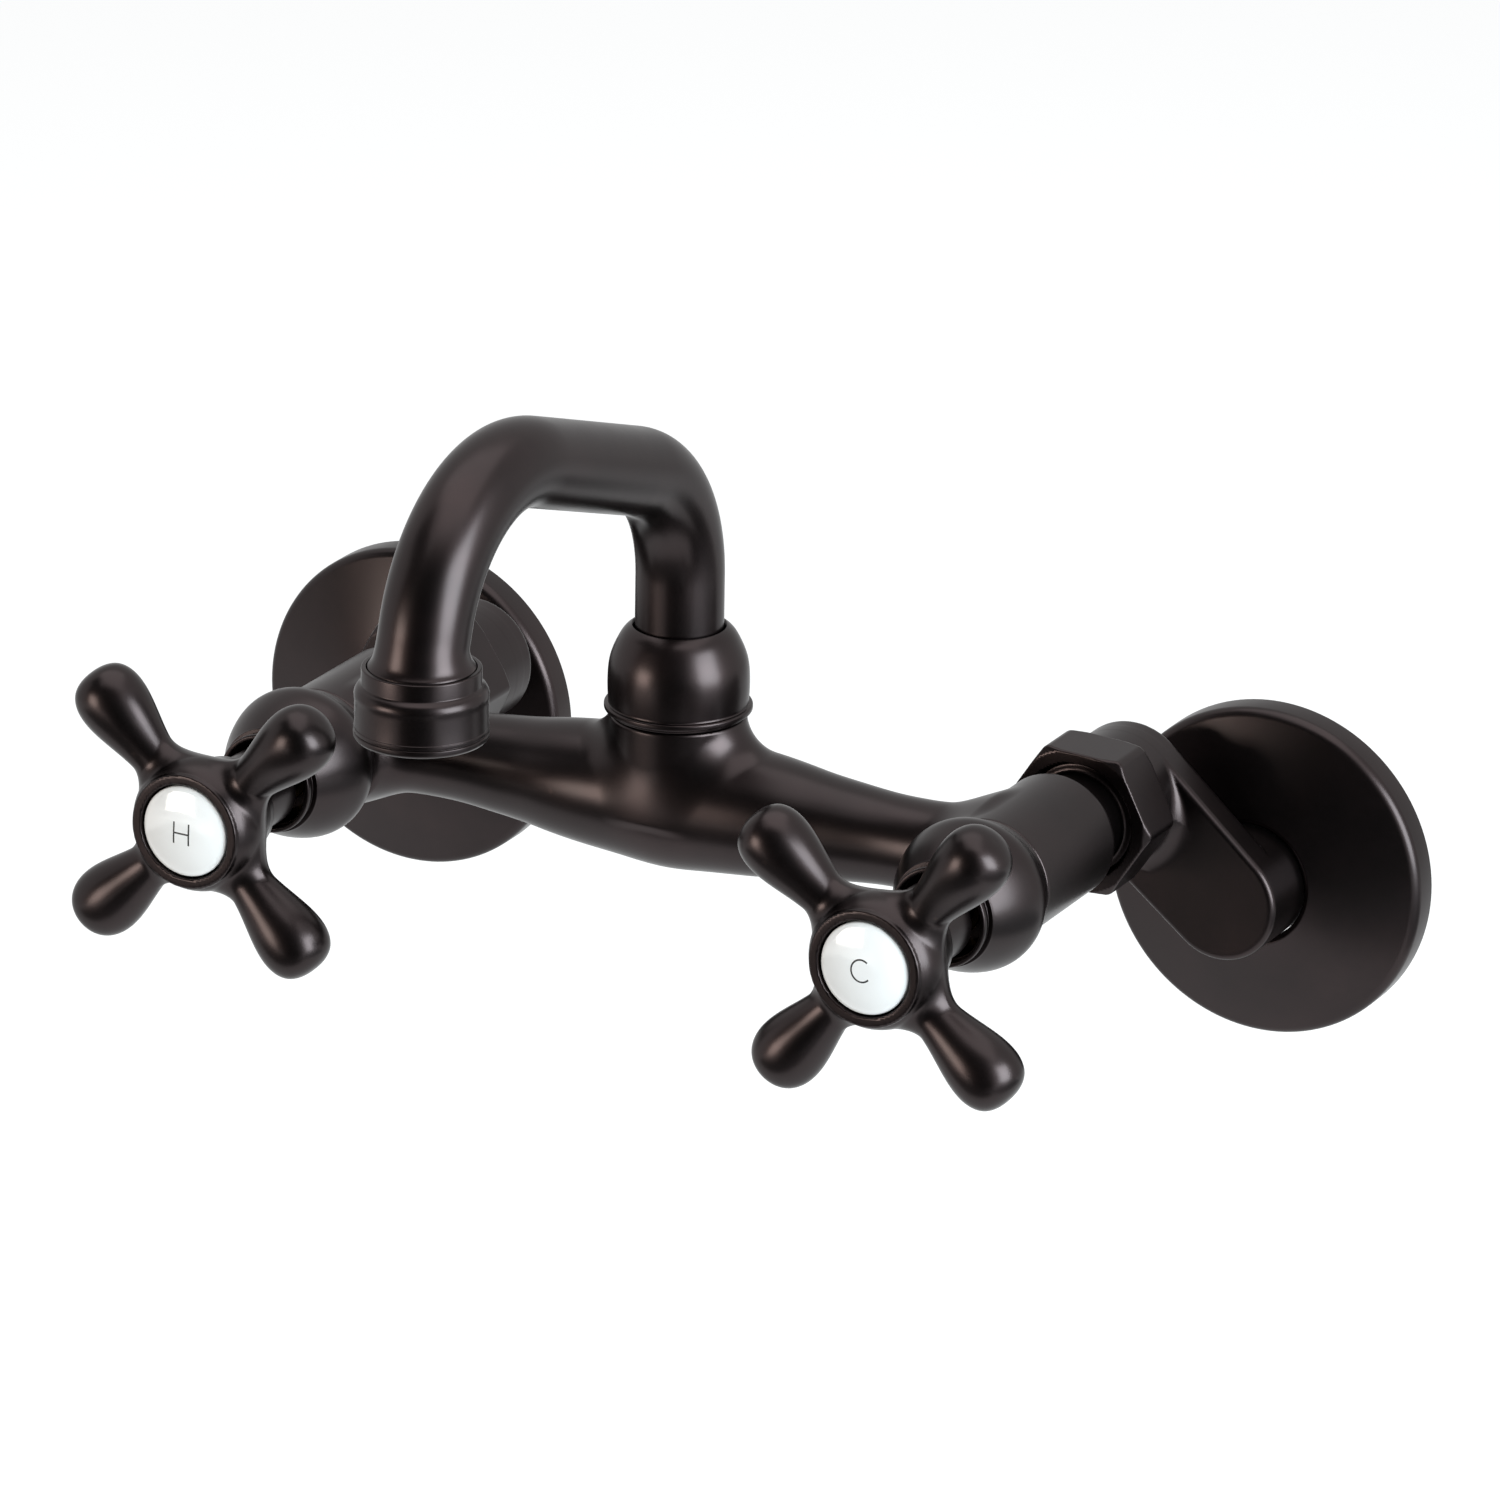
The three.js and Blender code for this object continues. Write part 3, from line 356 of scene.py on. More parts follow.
def solid_of(outline):
    """Signed distance to a turned solid from its outer outline, closed beyond its axis."""
    first = (-TABLE_MARGIN, outline[0][1])
    last = (-TABLE_MARGIN, outline[-1][1])
    return turned(rounded([first, *outline, last]))


def fuse(a, b, radius):
    """Union of two solids with a fillet in the corner between them."""
    corner = np.hypot(np.maximum(radius - a, 0), np.maximum(radius - b, 0))
    return np.maximum(radius, np.minimum(a, b)) - corner


def trim(a, b, radius):
    """Common part of two solids with its edge rounded."""
    corner = np.hypot(np.maximum(a + radius, 0), np.maximum(b + radius, 0))
    return np.minimum(-radius, np.maximum(a, b)) + corner


def cut(solid, hollow):
    """A solid without the space of another."""
    return np.maximum(solid, -hollow)


def grid_cells(values):
    """The cells that the surface passes through, and their vertices' offsets as shares of a cell."""
    inside = values < 0
    corners = [(i, j, k) for i in (0, 1) for j in (0, 1) for k in (0, 1)]
    sizes = np.array(values.shape) - 1
    wide, deep, high = sizes
    count = sum(inside[i:i + wide, j:j + deep, k:k + high].astype(np.int8) for i, j, k in corners)
    cells = np.argwhere((count > 0) & (count < 8))
    total = np.zeros((len(cells), 3))
    hits = np.zeros(len(cells))
    for axis in range(3):
        step = np.eye(3, dtype=int)[axis]
        for corner in corners:
            if corner[axis]:
                continue
            start = cells + corner
            end = start + step
            first = values[tuple(start.T)]
            second = values[tuple(end.T)]
            crossed = (first < 0) != (second < 0)
            share = np.where(crossed, first / np.where(crossed, first - second, 1), 0)
            total[crossed] += (np.array(corner) + share[:, None] * step)[crossed]
            hits += crossed
    return cells, total / hits[:, None]


def surface_quads(values, number):
    """Quads between the cells round each grid edge that the surface crosses, facing outward."""
    inside = values < 0
    quads = []
    for axis in range(3):
        one = (axis + 1) % 3
        two = (axis + 2) % 3
        start = np.take(inside, range(values.shape[axis] - 1), axis)
        end = np.take(inside, range(1, values.shape[axis]), axis)
        edges = np.argwhere(start != end)
        edges = edges[(edges[:, one] > 0) & (edges[:, two] > 0)]
        edges = edges[(edges[:, one] < values.shape[one] - 1) & (edges[:, two] < values.shape[two] - 1)]
        around = []
        for back_one, back_two in ((1, 1), (0, 1), (0, 0), (1, 0)):
            cell = edges.copy()
            cell[:, one] -= back_one
            cell[:, two] -= back_two
            around.append(number[tuple(cell.T)])
        quad = np.stack(around, axis=1)
        outward = start[tuple(edges.T)]
        quads.append(np.where(outward[:, None], quad, quad[:, ::-1]))
    return np.concatenate(quads)


def gradient(distance, points, reach):
    """Slope of a signed distance at the points, by central differences."""
    slope = np.empty_like(points)
    for axis in range(3):
        step = np.zeros(3)
        step[axis] = reach
        slope[:, axis] = distance(*(points + step).T) - distance(*(points - step).T)
    return slope / (2 * reach)


def settle(distance, points, cell):
    """Moves the points onto the surface where the signed distance is nought."""
    for _ in range(3):
        slope = gradient(distance, points, 0.03)
        steepness = np.maximum((slope ** 2).sum(axis=1), 0.25)
        move = np.clip(distance(*points.T) / steepness, -cell / 2, cell / 2)
        points = points - move[:, None] * slope
    return points


def isosurface(distance, low, high, cell, reach):
    """Points, quads and normals of the surface where a signed distance is nought."""
    low = np.array(low, float)
    sizes = np.ceil((np.array(high) - low) / cell).astype(int) + 1
    lines = [low[k] + cell * np.arange(sizes[k]) for k in range(3)]
    values = distance(*np.meshgrid(*lines, indexing="ij"))
    cells, shares = grid_cells(values)
    number = np.full(np.array(values.shape) - 1, -1)
    number[tuple(cells.T)] = np.arange(len(cells))
    quads = surface_quads(values, number)
    points = settle(distance, low + cell * (cells + shares), cell)
    for _ in range(2):
        points = settle(distance, relaxed(points, quads), cell)
    return points, quads, gradient(distance, points, reach)


def relaxed(points, quads):
    """The points moved half way to the mean of their neighbours along the quads' edges."""
    total = np.zeros_like(points)
    hits = np.zeros(len(points))
    for k in range(4):
        one = quads[:, k]
        two = quads[:, (k + 1) % 4]
        for axis in range(3):
            total[:, axis] += np.bincount(one, points[two, axis], len(points))
            total[:, axis] += np.bincount(two, points[one, axis], len(points))
        hits += np.bincount(one, minlength=len(points)) + np.bincount(two, minlength=len(points))
    return (points + total / hits[:, None]) / 2


def moulded(name, points, quads, normals):
    """A smooth object from an isosurface."""
    mesh = bpy.data.meshes.new(name)
    mesh.from_pydata((points * MM).tolist(), [], quads.tolist())
    mesh.shade_smooth()
    length = np.linalg.norm(normals, axis=1)[:, None]
    mesh.normals_split_custom_set_from_vertices((normals / np.maximum(length, 1e-6)).tolist())
    return add_object(name, mesh)


def mould_both(name, node, body, points, quads, normals):
    """A bronze piece and its mirror image. {} in the body's name stands for the side."""
    for word, side in SIDES.items():
        flip = np.array([side, 1, 1])
        order = quads if side > 0 else quads[:, ::-1]
        piece = moulded(f"{name}_{word}", points * flip, order, normals * flip)
        finish_piece(piece, body.format(word), "bronze", [f"{node}_{word}"])


# ---- materials

def new_material(name):
    """A material with a Principled shader, and its nodes and links."""
    material = bpy.data.materials.new(name)
    material.use_nodes = True
    tree = material.node_tree
    return material, tree.nodes, tree.links, tree.nodes["Principled BSDF"]


def set_inputs(node, **values):
    """Sets a node's inputs. An underscore stands for a space in an input's name."""
    for name, value in values.items():
        node.inputs[name.replace("_", " ")].default_value = value


def add_node(nodes, kind, **values):
    """A new shader node with its inputs set."""
    node = nodes.new("ShaderNode" + kind)
    set_inputs(node, **values)
    return node


def add_noise(nodes, links, scale, detail, roughness=0.5, stretch=(1, 1, 1)):
    """A noise texture on the object's own coordinates; its scale is in features to the metre."""
    coordinates = nodes.new("ShaderNodeTexCoord")
    mapping = add_node(nodes, "Mapping", Scale=stretch)
    noise = add_node(nodes, "TexNoise", Scale=scale, Detail=detail, Roughness=roughness)
    links.new(coordinates.outputs["Object"], mapping.inputs["Vector"])
    links.new(mapping.outputs["Vector"], noise.inputs["Vector"])
    return noise.outputs["Fac"]


def add_ramp(nodes, links, source, stops):
    """A colour ramp on a value. A stop is (position, (red, green, blue))."""
    ramp = nodes.new("ShaderNodeValToRGB")
    elements = ramp.color_ramp.elements
    while len(elements) < len(stops):
        elements.new(0.5)
    for element, (position, colour) in zip(elements, stops):
        element.position = position
        element.color = (*colour, 1)
    links.new(source, ramp.inputs["Fac"])
    return ramp.outputs["Color"]


def add_range(nodes, links, source, low, high, start=0.3, end=0.7):
    """A value mapped from the middle of a noise's range to low..high."""
    ranged = add_node(nodes, "MapRange", From_Min=start, From_Max=end, To_Min=low, To_Max=high)
    links.new(source, ranged.inputs["Value"])
    return ranged.outputs["Result"]


def add_bump(nodes, links, shader, height, strength, distance):
    """Fine relief on the shader's normal."""
    bump = add_node(nodes, "Bump", Strength=strength, Distance=distance)
    links.new(height, bump.inputs["Height"])
    links.new(bump.outputs["Normal"], shader.inputs["Normal"])


def bronze_finish():
    """Oil-rubbed bronze: a dark brown satin skin, a little warmer in patches and on its edges."""
    material, nodes, links, shader = new_material("oil_rubbed_bronze")
    patches = add_noise(nodes, links, scale=38, detail=5, roughness=0.55)
    skin = add_ramp(nodes, links, patches, [
        (0.30, (0.0130, 0.0075, 0.0077)),
        (0.52, (0.0172, 0.0099, 0.0101)),
        (0.72, (0.0230, 0.0133, 0.0134)),
    ])
    geometry = nodes.new("ShaderNodeNewGeometry")
    worn = add_range(nodes, links, geometry.outputs["Pointiness"], 0, 0.35, start=0.54, end=0.66)
    mix = nodes.new("ShaderNodeMix")
    mix.data_type = "RGBA"
    mix.inputs[7].default_value = (0.054, 0.033, 0.029, 1)
    links.new(worn, mix.inputs["Factor"])
    links.new(skin, mix.inputs[6])
    links.new(mix.outputs[2], shader.inputs["Base Color"])
    sheen = add_noise(nodes, links, scale=140, detail=4)
    roughness = add_range(nodes, links, sheen, 0.29, 0.36)
    links.new(roughness, shader.inputs["Roughness"])
    set_inputs(shader, Metallic=1, Specular_Tint=(0.5, 0.5, 0.5, 1), Coat_Weight=0.42, Coat_Roughness=0.29)
    grain = add_noise(nodes, links, scale=2600, detail=3, roughness=0.6)
    add_bump(nodes, links, shader, grain, strength=0.045, distance=0.00008)
    return material


def add_mottle(nodes, links, shader, noise, stops, low, high):
    """A colour and a roughness that follow one noise."""
    links.new(add_ramp(nodes, links, noise, stops), shader.inputs["Base Color"])
    links.new(add_range(nodes, links, noise, low, high), shader.inputs["Roughness"])


def machined(name, dark, light, roughness):
    """Turned bare metal with fine tool marks."""
    material, nodes, links, shader = new_material(name)
    marks = add_noise(nodes, links, scale=900, detail=3, roughness=0.6, stretch=(1, 6, 1))
    stops = [(0.35, dark), (0.7, light)]
    add_mottle(nodes, links, shader, marks, stops, roughness, roughness + 0.12)
    set_inputs(shader, Metallic=1)
    add_bump(nodes, links, shader, marks, strength=0.08, distance=0.00005)
    return material


def plain_finish(name, dark, light, roughness, scale, relief, coat=0):
    """A moulded, fired or lapped surface with a slight mottle and grain."""
    material, nodes, links, shader = new_material(name)
    mottle = add_noise(nodes, links, scale, detail=4)
    stops = [(0.3, dark), (0.7, light)]
    add_mottle(nodes, links, shader, mottle, stops, roughness, roughness * 1.25)
    set_inputs(shader, Coat_Weight=coat, Coat_Roughness=0.05)
    grain = add_noise(nodes, links, scale * 12, detail=2)
    add_bump(nodes, links, shader, grain, relief, distance=0.00005)
    return material


materials = {
    "bronze": bronze_finish(),
    # The brass parts are seen only deep inside the bonnets, so their colour is kept far darker than brass:
    # painted shade.
    "brass": machined("shade_darkened_brass", (0.036, 0.023, 0.012), (0.066, 0.043, 0.021), roughness=0.38),
    "steel": machined("bright_steel", (0.36, 0.36, 0.36), (0.52, 0.52, 0.52), roughness=0.22),
    "porcelain": plain_finish("glazed_porcelain", (0.82, 0.835, 0.845), (0.87, 0.885, 0.895),
                              roughness=0.12, scale=60, relief=0.02, coat=0.6),
    "ceramic": plain_finish("lapped_ceramic", (0.72, 0.70, 0.62), (0.80, 0.78, 0.70),
                            roughness=0.3, scale=300, relief=0.05),
    "rubber": plain_finish("black_rubber", (0.010, 0.010, 0.010), (0.018, 0.018, 0.018),
                           roughness=0.6, scale=500, relief=0.2),
    "plastic": plain_finish("white_acetal", (0.66, 0.64, 0.60), (0.74, 0.72, 0.68),
                            roughness=0.42, scale=350, relief=0.08),
    "ink": plain_finish("fired_ink", (0.012, 0.012, 0.014), (0.022, 0.022, 0.024),
                        roughness=0.3, scale=400, relief=0.05),
}


def finish_piece(thing, body, slot, replaced=(), material=None):
    """Gives a piece its body and the material of its slot (or the material named), and hides the CAD nodes
    that it stands for.
    """
    thing.data.materials.append(materials[material or slot])
    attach(thing, body)
    if replaced:
        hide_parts(*replaced)


# ---- the one-piece body

def crossbar_shape():
    """Crossbar turned about its own axis. Each point is a radius and a share of the way to a valve."""
    waist = [(14.3, 0), (13.6, 0.13), (12.8, 0.25), (11.8, 0.355), (10.9, 0.43), (10.1, 0.525),
             (9.4, 0.63), (9.3, 0.72), (9.7, 0.80), (10.9, 0.87), (12.2, 0.93)]
    mirrored = [(radius, -share) for radius, share in reversed(waist[1:4])]
    return solid_of(spline([(radius, share * VALVE_X) for radius, share in mirrored + waist]))


def hub_shape():
    """Upright hub; distances are heights."""
    return solid_of([
        (HUB_RADIUS, -1), (HUB_RADIUS, HUB_HEIGHT, 0.5),
        (THREAD_RADIUS, HUB_HEIGHT), (THREAD_RADIUS, HUB_TOP, 0.5),
    ])


def barrel_shape():
    """Valve barrel with a thread at each end; distances are depths."""
    return solid_of([
        (THREAD_RADIUS, BODY_BACK, 0.5), (THREAD_RADIUS, RELIEF_START, 0.6),
        (RELIEF_RADIUS, RELIEF_START, 0.8), (RELIEF_RADIUS, BARREL_BACK, 1),
        (BARREL_RADIUS, BARREL_BACK, 1.1), (BARREL_RADIUS, BARREL_FRONT, 0.5),
        (THREAD_RADIUS, BARREL_FRONT), (THREAD_RADIUS, BARREL_MOUTH, 0.5),
    ])


def barrel_bore():
    """Waterway through a barrel: supply end, seat hole and cartridge chamber."""
    back = BODY_BACK - TABLE_MARGIN
    front = BARREL_MOUTH + TABLE_MARGIN
    seat_back = SEAT_FRONT - SEAT_WALL
    return solid_of([
        (SUPPLY_BORE, back), (SUPPLY_BORE, seat_back), (SEAT_HOLE, seat_back),
        (SEAT_HOLE, SEAT_FRONT), (CHAMBER_RADIUS, SEAT_FRONT), (CHAMBER_RADIUS, front),
    ])


def build_body():
    """The body casting."""
    bar = crossbar_shape()
    hub = hub_shape()
    barrel = barrel_shape()
    bore = barrel_bore()
    tiny = 1e-6

    def distance(x, y, z):
        ahead = -y - SWIVEL_DEPTH
        up = z - VALVE_Z
        out = np.abs(x)
        round_bar = np.hypot(ahead, up)
        round_hub = np.hypot(x, ahead)
        round_barrel = np.hypot(out - VALVE_X, up)
        hub_fillet = HUB_FILLET * (1 - HUB_PINCH * ahead ** 2 / (round_hub * round_bar + tiny))
        barrel_fillet = BARREL_FILLET * (1 - BARREL_PINCH * up ** 2 / (round_barrel * round_bar + tiny))
        solid = fuse(bar(round_bar, out), hub(round_hub, up), hub_fillet)
        solid = fuse(solid, barrel(round_barrel, -y), barrel_fillet)
        socket = np.maximum(round_hub - SOCKET_RADIUS, SOCKET_FLOOR - up)
        waterway = np.maximum(round_bar - WATERWAY_RADIUS, out - VALVE_X)
        return cut(solid, np.minimum(np.minimum(socket, waterway), bore(round_barrel, -y)))

    surface = isosurface(distance, body_low - 2, body_high + 2, cell=0.52, reach=0.3)
    casting = moulded("body_casting", *surface)
    finish_piece(casting, "fixture", "bronze", ["faucet_body"])


# ---- wall flanges and supply arms

def build_flange(side, word):
    """Wall flange: a shallow cone with a rounded rim, hollow behind."""
    hole = ARM_RADIUS + 0.12
    inside = FLANGE_RADIUS - FLANGE_WALL
    front = FLANGE_DEPTH
    outline = rounded([
        (inside, 0, 0.3), (FLANGE_RADIUS, 0, 0.4), (FLANGE_RADIUS, FLANGE_RIM, 2.4),
        (hole + 1, front, 0.5), (hole, front - 0.6, 0.3), (hole, front - 2.6),
        (hole + 1.4, front - 2.6), (inside, FLANGE_RIM - 1.4, 1),
    ], steps=8)
    place = from_wall(side * INLET_X, 0)
    turned_piece(f"flange_shell_{word}", outline, place, f"{word}_flange", f"wall_flange_{word}", turns=144)


def build_supply_arms():
    """Eccentric supply arms: a slot-shaped plate with a wall boss and the neck that carries the nut."""
    drop_x = INLET_X - VALVE_X
    drop_z = -VALVE_Z
    reach = hypot(drop_x, drop_z)
    middle = (ARM_BACK + ARM_FRONT) / 2
    boss = solid_of([(ARM_RADIUS, 0, 0.4), (ARM_RADIUS, BOSS_END)])
    neck = solid_of([
        (ARM_NECK, middle), (ARM_NECK, NUT_LIP), (RING_GROOVE_RADIUS, NUT_LIP),
        (RING_GROOVE_RADIUS, RING_GROOVE_END), (ARM_NECK, RING_GROOVE_END), (ARM_NECK, NECK_END, 0.4),
    ])
    seat = solid_of([(ARM_HEAD, middle), (ARM_HEAD, NUT_BACK - GAP, 0.5)])
    inlet = solid_of([
        (INLET_BORE, -TABLE_MARGIN), (INLET_BORE, INLET_DEPTH),
        (WATERWAY_RADIUS, INLET_DEPTH), (WATERWAY_RADIUS, middle),
    ])

    def distance(x, y, z):
        across = x - VALVE_X
        up = z - VALVE_Z
        along = np.clip((across * drop_x + up * drop_z) / reach ** 2, 0, 1)
        slot = np.hypot(across - along * drop_x, up - along * drop_z)
        slab = np.abs(-y - middle) - (ARM_FRONT - ARM_BACK) / 2
        from_inlet = np.hypot(x - INLET_X, z)
        from_valve = np.hypot(across, up)
        edge = slot - ARM_HEAD - along * (ARM_RADIUS - ARM_HEAD)
        solid = np.minimum(trim(edge, slab, ARM_EDGE), boss(from_inlet, -y))
        solid = fuse(solid, seat(from_valve, -y), SEAT_FILLET * np.clip(-edge / SEAT_FADE, 0.01, 1))
        solid = np.minimum(solid, neck(from_valve, -y))
        channel = np.maximum(slot - WATERWAY_RADIUS, np.abs(-y - middle) - CHANNEL_HALF)
        outflow = np.maximum(from_valve - WATERWAY_RADIUS, middle + y)
        return cut(solid, np.minimum(np.minimum(channel, outflow), inlet(from_inlet, -y)))

    surface = isosurface(distance, arm_low - 2, arm_high + 2, cell=0.6, reach=0.25)
    mould_both("eccentric_arm", "supply_arm", "{}_arm", *surface)


def build_union_nuts():
    """Hexagon union nuts, with a corner to each side and flats above and below."""
    corner = NUT_FLATS / 2 / cos(pi / 6)
    face = corner - 1.7
    wide = corner + 0.7
    slope = 1.5
    envelope = solid_of([
        (face, NUT_BACK), (wide, NUT_BACK + slope), (wide, NUT_FRONT - slope), (face, NUT_FRONT),
    ])
    back = NUT_BACK - TABLE_MARGIN
    front = NUT_FRONT + TABLE_MARGIN
    lip = ARM_NECK + GAP
    thread = THREAD_RADIUS + GAP
    bore = solid_of([(lip, back), (lip, NUT_LIP), (thread, NUT_LIP), (thread, front)])
    headings = np.radians([30 - NUT_TURN, 90 - NUT_TURN, 150 - NUT_TURN])
    flats = [(cos(a), sin(a)) for a in headings]

    def distance(x, y, z):
        across = x - VALVE_X
        up = z - VALVE_Z
        faces = [np.abs(across * a + up * b) - NUT_FLATS / 2 for a, b in flats]
        prism = trim(trim(faces[0], faces[1], radius=0.9), faces[2], radius=0.9)
        from_valve = np.hypot(across, up)
        return cut(trim(prism, envelope(from_valve, -y), radius=0.35), bore(from_valve, -y))

    surface = isosurface(distance, nut_low - 2, nut_high + 2, cell=0.4, reach=0.12)
    mould_both("hex_nut", "union_nut", "fixture", *surface)


# ---- bonnets, handles and buttons

def build_bonnet(side, word):
    """Bell-shaped bonnet, open at its front round the stem."""
    b = BONNET_BACK
    end = b + BONNET_LENGTH
    wide = BONNET_BELLY
    mouth = BONNET_MOUTH
    thread = THREAD_RADIUS + GAP
    skirt = (wide - 2.3, b + 1.2)
    neck = (mouth + BONNET_WALL, end - 2.8)
    throat = (mouth, end - 2.9)
    outer = spline([
        skirt, (wide - 1.8, b + 2.6), (wide - 0.8, b + 4.2), (wide - 0.15, b + 6), (wide, b + 8),
        (wide - 0.6, b + 11), (wide - 1.9, b + 14.5), (wide - 3.6, b + 17.9), neck,
    ])
    lip = rounded([
        neck, (mouth + 1.8, end - 2.55, 0.2), (mouth + 0.8, end - 2.5, 0.15), (mouth + 0.8, end - 1.3, 0.15),
        (mouth + 1.25, end - 1.1, 0.15), (mouth + 1.25, end, 0.45), (mouth + 0.3, end, 0.3),
        (mouth, end - 1.2, 0.5), throat,
    ])
    inner = spline([throat, (11, b + 14.8), (13.4, b + 10), (13.8, b + 7.8), (thread, b + 5.6)])
    foot = rounded([(thread, b), (wide - 2.4, b, 0.3), skirt])
    outline = [(thread, b), *foot[1:-1], *outer, *lip[1:-1], *inner]
    place = from_wall(side * VALVE_X, VALVE_Z)
    turned_piece(f"bell_bonnet_{word}", outline, place, "fixture", f"valve_bonnet_{word}")


def build_cross_handles():
    """Cross handles: a hub with a recess for the button, and four ball-ended arms."""
    front = HANDLE_FRONT
    floor = BUTTON_BACK - GAP
    recess = BUTTON_RADIUS + GAP
    plane = HANDLE_PLANE
    shoulder = (10.6, plane - 9)
    rim = (12.1, plane + 6.75)
    sleeve = rounded([
        (SLEEVE_BORE, HUB_BACK), (SLEEVE_BORE, HANDLE_BACK, 0.2), (SLEEVE_RADIUS, HANDLE_BACK, 0.4),
        (SLEEVE_RADIUS, HUB_BACK + 3.3, 0.5), (10.3, HUB_BACK + 4.9, 0.9), shoulder,
    ])
    bulge = spline([
        shoulder, (12, plane - 5.2), (13.35, plane - 2), (HANDLE_HUB, plane + 1),
        (13.6, plane + 4), (12.8, plane + 5.8), rim,
    ])
    edge = rounded([rim, (12.05, front, 0.6), (9.9, front, 0.25), (recess, floor)])
    hub = solid_of([*sleeve[:-1], *bulge, *edge[1:]])
    neck = HANDLE_NECK
    tip = HANDLE_TIP
    ball = spline([
        (neck + 0.1, 5), (neck + 0.1, 8), (neck, 12), (neck + 0.1, 15.5), (5.3, tip - 17.5),
        (6.55, tip - 12.2), (HANDLE_BALL, tip - 7.7), (6.85, tip - 4.3), (5.35, tip - 1.65),
        (3, tip - 0.35), (0, tip), (-3, tip - 0.35),
    ])
    arm = solid_of(ball)
    stem = STEM_END + GAP
    web = plane - 0.6
    well = solid_of([
        (SPLINE_BORE, HUB_BACK - 2.5), (SPLINE_BORE, stem), (SCREW_BORE, stem), (SCREW_BORE, web),
        (SCREW_WELL, web), (SCREW_WELL, floor), (recess, floor), (recess, front + TABLE_MARGIN),
    ])

    def distance(x, y, z):
        radius = np.hypot(x, z)
        along = (np.abs(x) + np.abs(z)) / sqrt(2)
        across = (np.abs(x) - np.abs(z)) / sqrt(2)
        round_arm = np.hypot(across, -y - plane)
        fillet = HANDLE_FILLET * np.clip((front - 0.5 + y) / HANDLE_FADE, 0.2, 1)
        solid = fuse(hub(radius, -y), arm(round_arm, along), fillet)
        return cut(solid, well(radius, -y))

    span = (handle_high[0] - handle_low[0]) / 2 + 2
    low = (-span, -HANDLE_FRONT - 2, -span)
    high = (span, -HANDLE_BACK + 2, span)
    points, quads, normals = isosurface(distance, low, high, cell=0.5, reach=0.25)
    for word, side in SIDES.items():
        turn = np.array(Matrix.Rotation(-radians(HANDLE_TURN[word]), 3, "Y"))
        at = np.array([side * VALVE_X, 0, VALVE_Z])
        handle = moulded(f"four_arm_handle_{word}", points @ turn.T + at, quads, normals @ turn.T)
        finish_piece(handle, f"{word}_handle", "bronze", [f"cross_handle_{word}"])


def build_button(side, word):
    """Porcelain index button with a domed face."""
    radius = BUTTON_RADIUS
    back = BUTTON_BACK
    front = BUTTON_FRONT
    brim = (radius - 0.9, front - 1.08)
    flat = front - DOME_FALL
    edge = rounded([(radius, back), (radius, front - 1.55, 0.5), brim])[1:-1]
    dome = spline([
        brim, (radius - 2.1, front - 0.75), (DOME_RADIUS, flat), (0, front), (-DOME_RADIUS, flat),
    ])
    dome = [point for point in dome if point[0] > 0.05]
    outline = [(0, back), (radius - 0.3, back), (radius, back + 0.3), *edge, *dome, (0, front)]
    place = from_wall(side * VALVE_X, VALVE_Z)
    node = f"index_button_{word}"
    body = f"{word}_handle"
    turned_piece(f"porcelain_button_{word}", outline, place, body, node, "porcelain", closed=False)


def letter_strokes(word):
    """Centrelines of a plain capital letter, as lists of points on the button's face."""
    wide = 1.7
    high = 2.3
    if word == "hot":
        return [[(-wide, -high), (-wide, high)], [(wide, -high), (wide, high)], [(-wide, 0), (wide, 0)]]
    round_wide = 2.15
    turns = np.radians(np.linspace(48, 312, 40))
    return [[(round_wide * cos(a), high * sin(a)) for a in turns]]


def build_letter(side, word):
    """A generic letter in thin dark strokes on the button: H for hot, C for cold."""
    half_stroke = 0.2
    curve = 1.03 * DOME_FALL / DOME_RADIUS ** 2  # of the dome, under the strokes
    points = []
    faces = []
    turn = radians(HANDLE_TURN[word])
    for stroke in letter_strokes(word):
        line = np.array(stroke, float)
        if len(line) == 2:
            line = line[0] + np.linspace(0, 1, 9)[:, None] * (line[1] - line[0])
        tangent = np.gradient(line, axis=0)
        tangent /= np.linalg.norm(tangent, axis=1)[:, None]
        over = np.stack([-tangent[:, 1], tangent[:, 0]], axis=1)
        first = len(points)
        section = [(-1, -0.15), (-0.9, 0.03), (0, 0.06), (0.9, 0.03), (1, -0.15)]
        for middle, way in zip(line, over):
            for share, rise in section:
                u, v = middle + way * half_stroke * share
                depth = BUTTON_FRONT - curve * (u * u + v * v) + rise
                x = u * cos(turn) - v * sin(turn)
                z = u * sin(turn) + v * cos(turn)
                points.append((side * VALVE_X + x, -depth, VALVE_Z + z))
        width = len(section)
        end = first + (len(line) - 1) * width
        for a in range(first, end, width):
            for k in range(width):
                after = (k + 1) % width
                faces.append((a + k, a + after, a + width + after, a + width + k))
        faces.append(tuple(range(first, first + width)))
        faces.append(tuple(reversed(range(end, end + width))))
    letter = make_object(f"index_letter_{word}", points, faces, 60)
    finish_piece(letter, f"{word}_handle", "porcelain", material="ink")


# ---- swivel, spout and aerator

